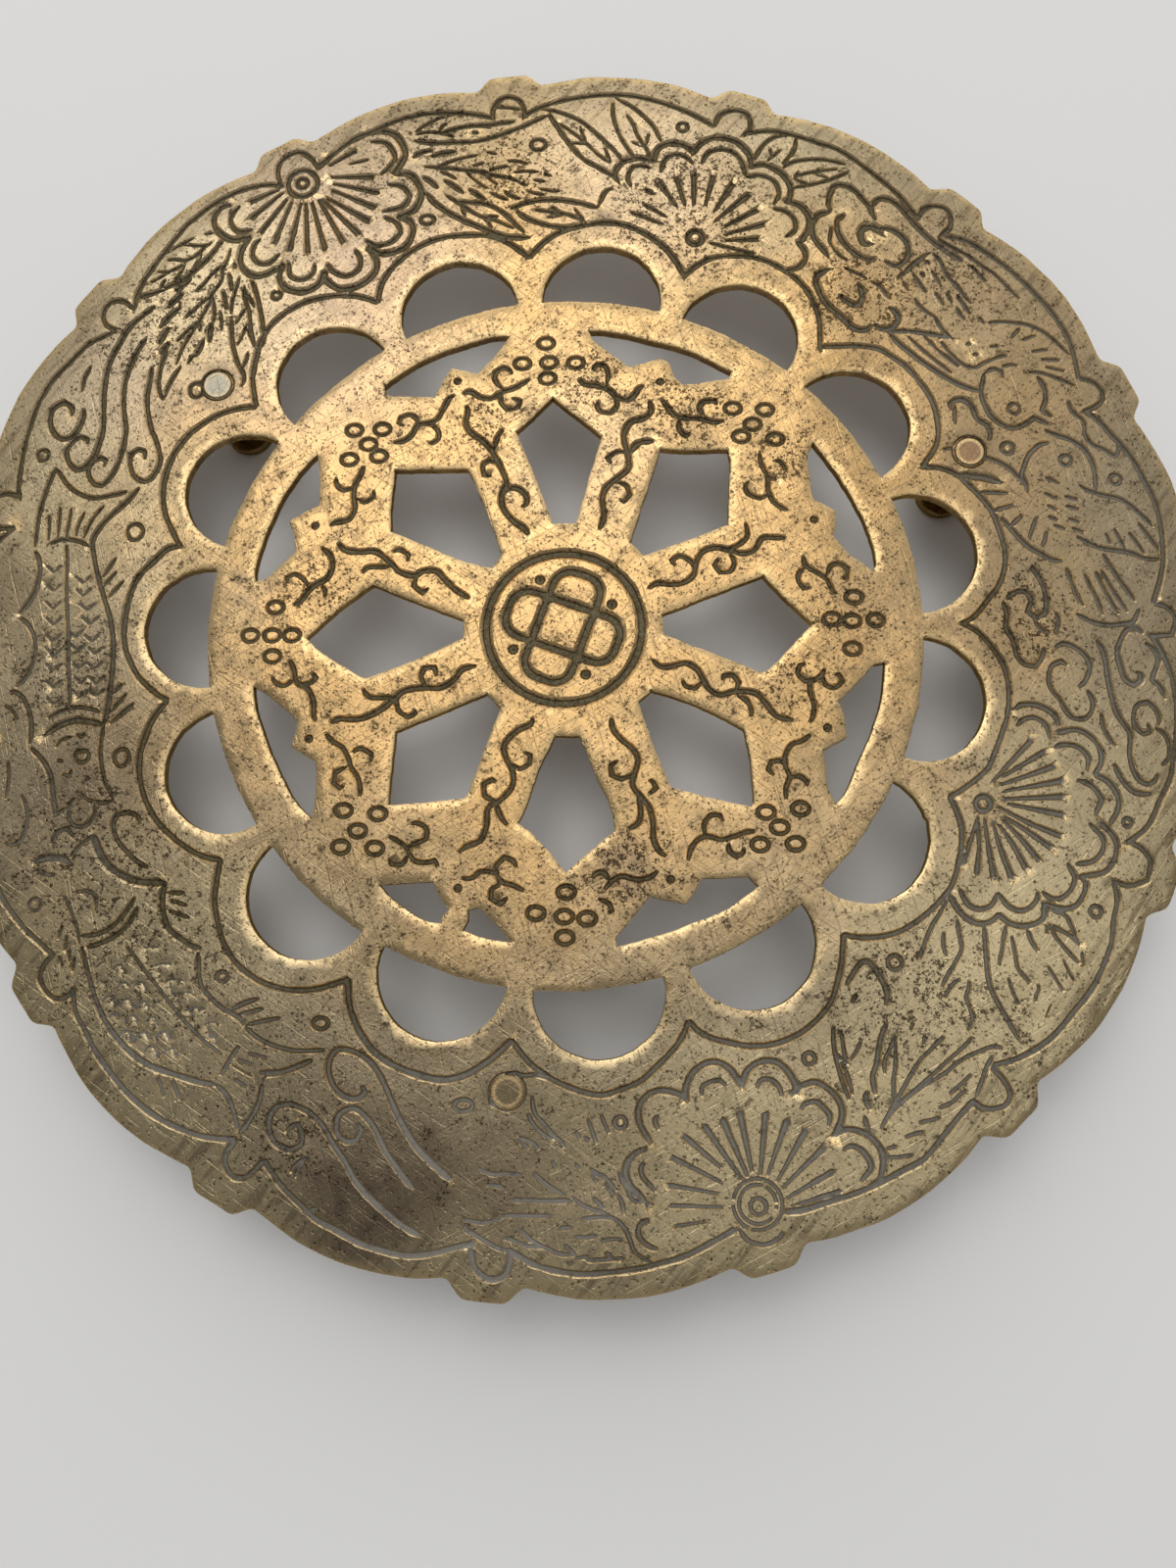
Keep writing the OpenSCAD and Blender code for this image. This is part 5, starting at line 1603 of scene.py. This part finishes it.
class Brass(Nodes):
    """Aged brass: golden where it is rubbed, olive and brown where it isn't and painted darker towards the
    front as shade, with blotches, scratches and bright flecks that are painted glints.
    """

    def __init__(self, name, gold, patina):
        self.material = bpy.data.materials.new(name)
        super().__init__(self.material)
        self.where = self.add("ShaderNodeTexCoord").outputs["Object"]
        self.x, self.y, self.z = self.axes(self.where)
        self.cloud = self.noise(self.where, 38.0, 5.0, 0.62)
        self.blotch = self.noise(self.where, 300.0, 5.0, 0.66)
        self.grain = self.noise(self.where, 2000.0, 3.0, 0.7)
        patina_and_front_shade = self.ramp(self.distance(self.where, RUBBED_MIDDLE), 0.045, 0.085)
        patina_and_front_shade = self.plus(patina_and_front_shade, self.ramp(self.cloud, 0.35, 0.7, -0.25, 0.3))
        # Darker towards the front: painted shade
        patina_and_front_shade = self.plus(patina_and_front_shade, self.ramp(self.y, -0.01, -0.09, 0.0, 0.3), clamp=True)
        self.base = self.mix(patina_and_front_shade, gold, patina)
        self.paint(DARK_PATINA, self.ramp(self.blotch, 0.45, 0.72, 0.0, 0.36))
        self.paint(DARK_PATINA, self.ramp(self.grain, 0.5, 0.62, 0.0, 0.2))
        # Fine bright flecks: painted glints on the worn brass
        self.paint(WORN_SHINE, self.ramp(self.noise(self.where, 1700.0, 4.0, 0.75), 0.55, 0.66, 0.0, 0.12))
        scratch = 0.0
        for turn, scale, limit in SCRATCHES:
            one_way = self.noise(self.where, scale, 1.0, 0.4, (0.5, 14.0, 1.0), turn)
            scratch = self.most(scratch, self.ramp(one_way, limit, limit + 0.05))
        self.paint(DARK_PATINA, scratch, 0.3)
        self.height = self.times(scratch, -0.16)
        self.rough = self.ramp(self.blotch, 0.3, 0.7, 0.2, 0.34)
        self.metal = 0.96

    def paint(self, tone, *shares):
        """A coat over the base, as strong as the product of its shares."""
        self.base = self.mix(self.times(*shares), self.base, tone)

    def rivet_heads(self):
        """Heads pale on the left (a painted highlight), brown on the right and dull in front (painted shade),
        with a worn ring that is also a painted highlight, and a dark ring of dirt and painted shade.
        """
        head = self.ramp(self.z, *HEAD_Z)
        flat = self.vector("MULTIPLY", self.where, (1.0, 1.0, 0.0))
        off = 1.0
        for place in foot_places():
            off = self.math("MINIMUM", off, self.distance(flat, (*(place * MM), 0.0)))
        # The pale left head is a painted highlight
        self.paint(HEAD_PALE, self.ramp(self.x, -0.02, -0.05), head)
        mottled = self.ramp(self.blotch, 0.35, 0.6, 0.3, 1.0)
        self.paint(HEAD_BROWN, self.ramp(self.x, 0.02, 0.05), head, mottled)
        # The duller front head is painted shade
        near = self.times(self.ramp(self.y, -0.03, -0.05), head)
        self.paint(HEAD_DULL, near, 0.8)
        # A worn ring round each head, also a painted highlight
        self.paint(WORN_SHINE, self.ramp(off, 0.0015, 0.0018), self.ramp(self.cloud, 0.4, 0.55, 0.2, 0.9), head)
        # A dark ring in the gap round each head: dirt and painted shade
        self.paint(GROOVE_DIRT_AND_SHADE, self.ramp(off, 0.0020, 0.0022), self.ramp(near, 0.0, 1.0, 1.0, 0.45), head)

    def tints_and_border(self):
        """Rosy and paler zones that are partly tint and partly painted sheen and light, the lighter border in
        front that is a paler bevel with painted light, and the file marks across it.
        """
        # Rosy tint with a painted sheen
        self.paint(ROSE, self.attribute("rosy"), 0.6)
        # Paler zones: lighter patina and painted light
        self.paint(PALE_PATINA_AND_LIGHT, self.attribute("paler_patina_and_light"), 0.9)
        from_axis = self.distance(self.where, FACE_MIDDLE)
        # A lighter border towards the front: paler bevel and painted light
        border = self.times(self.ramp(from_axis, 0.0865, 0.0905), self.ramp(self.y, 0.01, -0.05, 0.0, 0.65))
        self.paint(PALE_PATINA_AND_LIGHT, border, self.ramp(self.blotch, 0.3, 0.6, 0.5, 1.0))
        filed = self.noise(self.where, 700.0, 3.0, 0.6, (0.1, 1.0, 1.0), -0.9)
        self.paint(DARK_PATINA, self.ramp(filed, 0.5, 0.62), self.ramp(from_axis, 0.086, 0.092, 0.15, 0.6))

    def specks(self, zone):
        """Casting pits and corroded spots, thicker in the pitted zones."""
        inputs = {"Vector": self.where, "Scale": 2500.0, "Detail": 2.0}
        shift = self.add("ShaderNodeTexNoise", inputs).outputs["Color"]
        shaky = self.vector("ADD", self.vector("MULTIPLY", shift, PIT_SHIFT), self.where)
        fine, small, large = (self.pits(shaky, *kind) for kind in PITS)
        spread = self.ramp(self.plus(zone, self.ramp(self.blotch, 0.4, 0.65, -0.3, 0.5)), 0.05, 0.7)
        coarse = self.times(self.most(small, large), self.ramp(spread, 0.0, 0.6, 0.45, 1.0))
        fine = self.times(fine, self.ramp(spread, 0.0, 0.5, 0.65, 1.0))
        ragged = self.ramp(self.noise(self.where, 1100.0, 6.0, 0.8), 0.55, 0.6)
        eaten = self.times(ragged, self.ramp(spread, 0.2, 0.8))
        return self.most(coarse, fine, eaten, self.pits(self.where, *LARGEST_PITS))

    def engraving(self):
        """Stains, bright lips of the cuts that are worn brass with a painted highlight, pits, and dirt in the
        grooves with painted shade at the foot of their walls and, where they are worn, a pale coat of pale
        dirt and a painted reflection.
        """
        cut, zone, pale = (self.attribute(key) for key in ("cut", "pits", "pale"))
        # Stains and grime on top; the underside and the walls of the openings are painted darker
        self.paint(STAIN, self.attribute("stains_and_darker_underside"), self.ramp(self.blotch, 0.3, 0.6, 0.45, 0.95))
        # Bright lips round the cuts and bright edges of the openings and rim: worn brass with a painted
        # highlight
        lip_wear_and_glint = self.times(self.ramp(cut, 0.0, 0.12), self.ramp(cut, 0.45, 0.25))
        lip_wear_and_glint = self.times(lip_wear_and_glint, self.ramp(zone, 0.2, 1.0, 1.0, 0.2))
        self.paint(WORN_SHINE, self.most(self.attribute("edge"), lip_wear_and_glint), 0.8)
        speck = self.specks(zone)
        self.paint(PIT_DARK, speck, 0.9)
        self.height = self.minus(self.height, self.times(speck, 0.7))
        # Dirt in the grooves, with painted shade where it is darkest at the foot of the walls, and lighter on
        # the flat beds
        fill = self.plus(cut, self.ramp(self.grain, 0.3, 0.7, -0.12, 0.12))
        fill = self.ramp(self.plus(fill, self.ramp(pale, 0.3, 1.0, -0.12, 0.3)), 0.45, 0.75)
        bed = self.times(self.ramp(cut, 0.9, 1.0), self.ramp(self.grain, 0.3, 0.6, 0.25, 1.0))
        # In the pale zones the grooves get pale dirt with a painted reflection of the light
        self.paint(self.mix(pale, self.mix(bed, GROOVE_DIRT_AND_SHADE, GROOVE_LIGHT), PALE_DIRT_AND_REFLECTION), fill)
        self.rough = self.plus(self.rough, self.times(fill, 0.3), clamp=True)
        self.metal = self.minus(self.metal, self.times(fill, self.ramp(pale, 0.0, 1.0, 0.3, 0.75)))

    def finished(self):
        """The material, with its grain and soft swells as bumps."""
        swell = self.noise(self.where, 55.0, 2.0, 0.5)
        bumps = self.plus(self.times(self.grain, 0.3), self.times(swell, 5.0))
        inputs = {"Height": self.plus(self.height, bumps), "Strength": 0.9, "Distance": BUMP_H}
        inputs = {"Normal": self.add("ShaderNodeBump", inputs).outputs[0], "Specular Tint": EDGE_TINT}
        inputs.update({"Base Color": self.base, "Roughness": self.rough, "Metallic": self.metal})
        self.output("ShaderNodeOutputMaterial", self.add("ShaderNodeBsdfPrincipled", inputs))
        return self.material


def plate_material():
    brass = Brass("plate_brass", GOLD, OLIVE)
    brass.tints_and_border()
    brass.engraving()
    return brass.finished()


def foot_material():
    brass = Brass("foot_brass", FOOT_GOLD, FOOT_OLIVE)
    brass.rivet_heads()
    return brass.finished()


def floor_material():
    """Plain pale floor."""
    material = bpy.data.materials.new("floor")
    nodes = Nodes(material)
    where = nodes.add("ShaderNodeTexCoord").outputs["Object"]
    tone = nodes.mix(nodes.noise(where, 9.0), *FLOOR_TONES)
    shader = nodes.add("ShaderNodeBsdfPrincipled", {"Base Color": tone, "Roughness": 0.8})
    nodes.output("ShaderNodeOutputMaterial", shader)
    return material


# The object
foot_brass = foot_material()
verts, faces, values = plate_mesh()
plate = make_object("plate_engraved", verts, faces, plate_material(), values)
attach(plate, "root")
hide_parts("plate")
for name in ("foot_left", "foot_right", "foot_front"):
    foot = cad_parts[name]
    foot.data.materials.clear()
    foot.data.materials.append(foot_brass)

# Floor, half its side in millimetres
FLOOR_HALF = 20000
corners = [(x * FLOOR_HALF, y * FLOOR_HALF, 0) for x, y in ((-1, -1), (1, -1), (1, 1), (-1, 1))]
floor = make_object("floor", corners, [(0, 1, 2, 3)], floor_material())

# Lamps that look at the plate: place and size in metres, and power in watts
LAMPS = (
    ("key", (-0.12, 0.5, 0.8), (0.6, 0.4), 1.1),
    ("fill", (-0.1, 0.3, 1.1), (0.7, 0.7), 1.9),
    ("corner", (0.4, -0.1, 1.1), (0.7, 0.7), 0.8),
)
for name, place, size, power in LAMPS:
    light = bpy.data.lights.new(name, "AREA")
    light.shape = "RECTANGLE"
    light.size, light.size_y = size
    light.energy = power
    lamp = add_to_scene(name, light)
    lamp.location = place
    lamp.rotation_euler = (-Vector(place)).to_track_quat("-Z", "Y").to_euler()

# The studio's walls: brighter behind the plate, so that the brass shades off towards the front, brightest
# low down there, and dimmer at both sides. The camera sees them plain and pale.
FRONT_LEVEL = 0.36
BACK_LEVEL = 1.15
LOW_WALL_LEVEL = 0.8
SIDE_DIMMING = -0.5
SEEN_LEVEL = 0.85
world = bpy.data.worlds.new("studio")
studio = Nodes(world)
side, back, _ = studio.axes(studio.add("ShaderNodeTexCoord").outputs["Generated"])
level = studio.ramp(back, 0.0, 0.5, FRONT_LEVEL, BACK_LEVEL)
level = studio.plus(level, studio.ramp(back, 0.74, 0.95, 0.0, LOW_WALL_LEVEL))
level = studio.times(studio.plus(studio.times(side, side, SIDE_DIMMING), 1.0), level)
seen = studio.add("ShaderNodeLightPath").outputs["Is Camera Ray"]
plain = studio.add("ShaderNodeMix", {"Factor": seen, "A": level, "B": SEEN_LEVEL})
inputs = {"Color": WALL_TONE, "Strength": plain.outputs["Result"]}
studio.output("ShaderNodeOutputWorld", studio.add("ShaderNodeBackground", inputs))
bpy.context.scene.world = world

# The camera looks almost straight down, as it did for the photograph, which is 1200 by 1600 pixels
PHOTO_LONG_SIDE = 1600
FOCAL_PIXELS = 1060
SENSOR = 36.0
CAMERA_PLACE = (0.00792, -0.04934, 0.16579)
CAMERA_TILT = (9.577, 1.565, 0)
camera = bpy.data.cameras.new("camera")
camera.sensor_fit = "AUTO"
camera.sensor_width = SENSOR
camera.lens = SENSOR * FOCAL_PIXELS / PHOTO_LONG_SIDE
camera_object = add_to_scene("camera", camera)
camera_object.location = CAMERA_PLACE
camera_object.rotation_euler = [math.radians(angle) for angle in CAMERA_TILT]
bpy.context.scene.camera = camera_object
bpy.context.scene.view_settings.view_transform = "Standard"
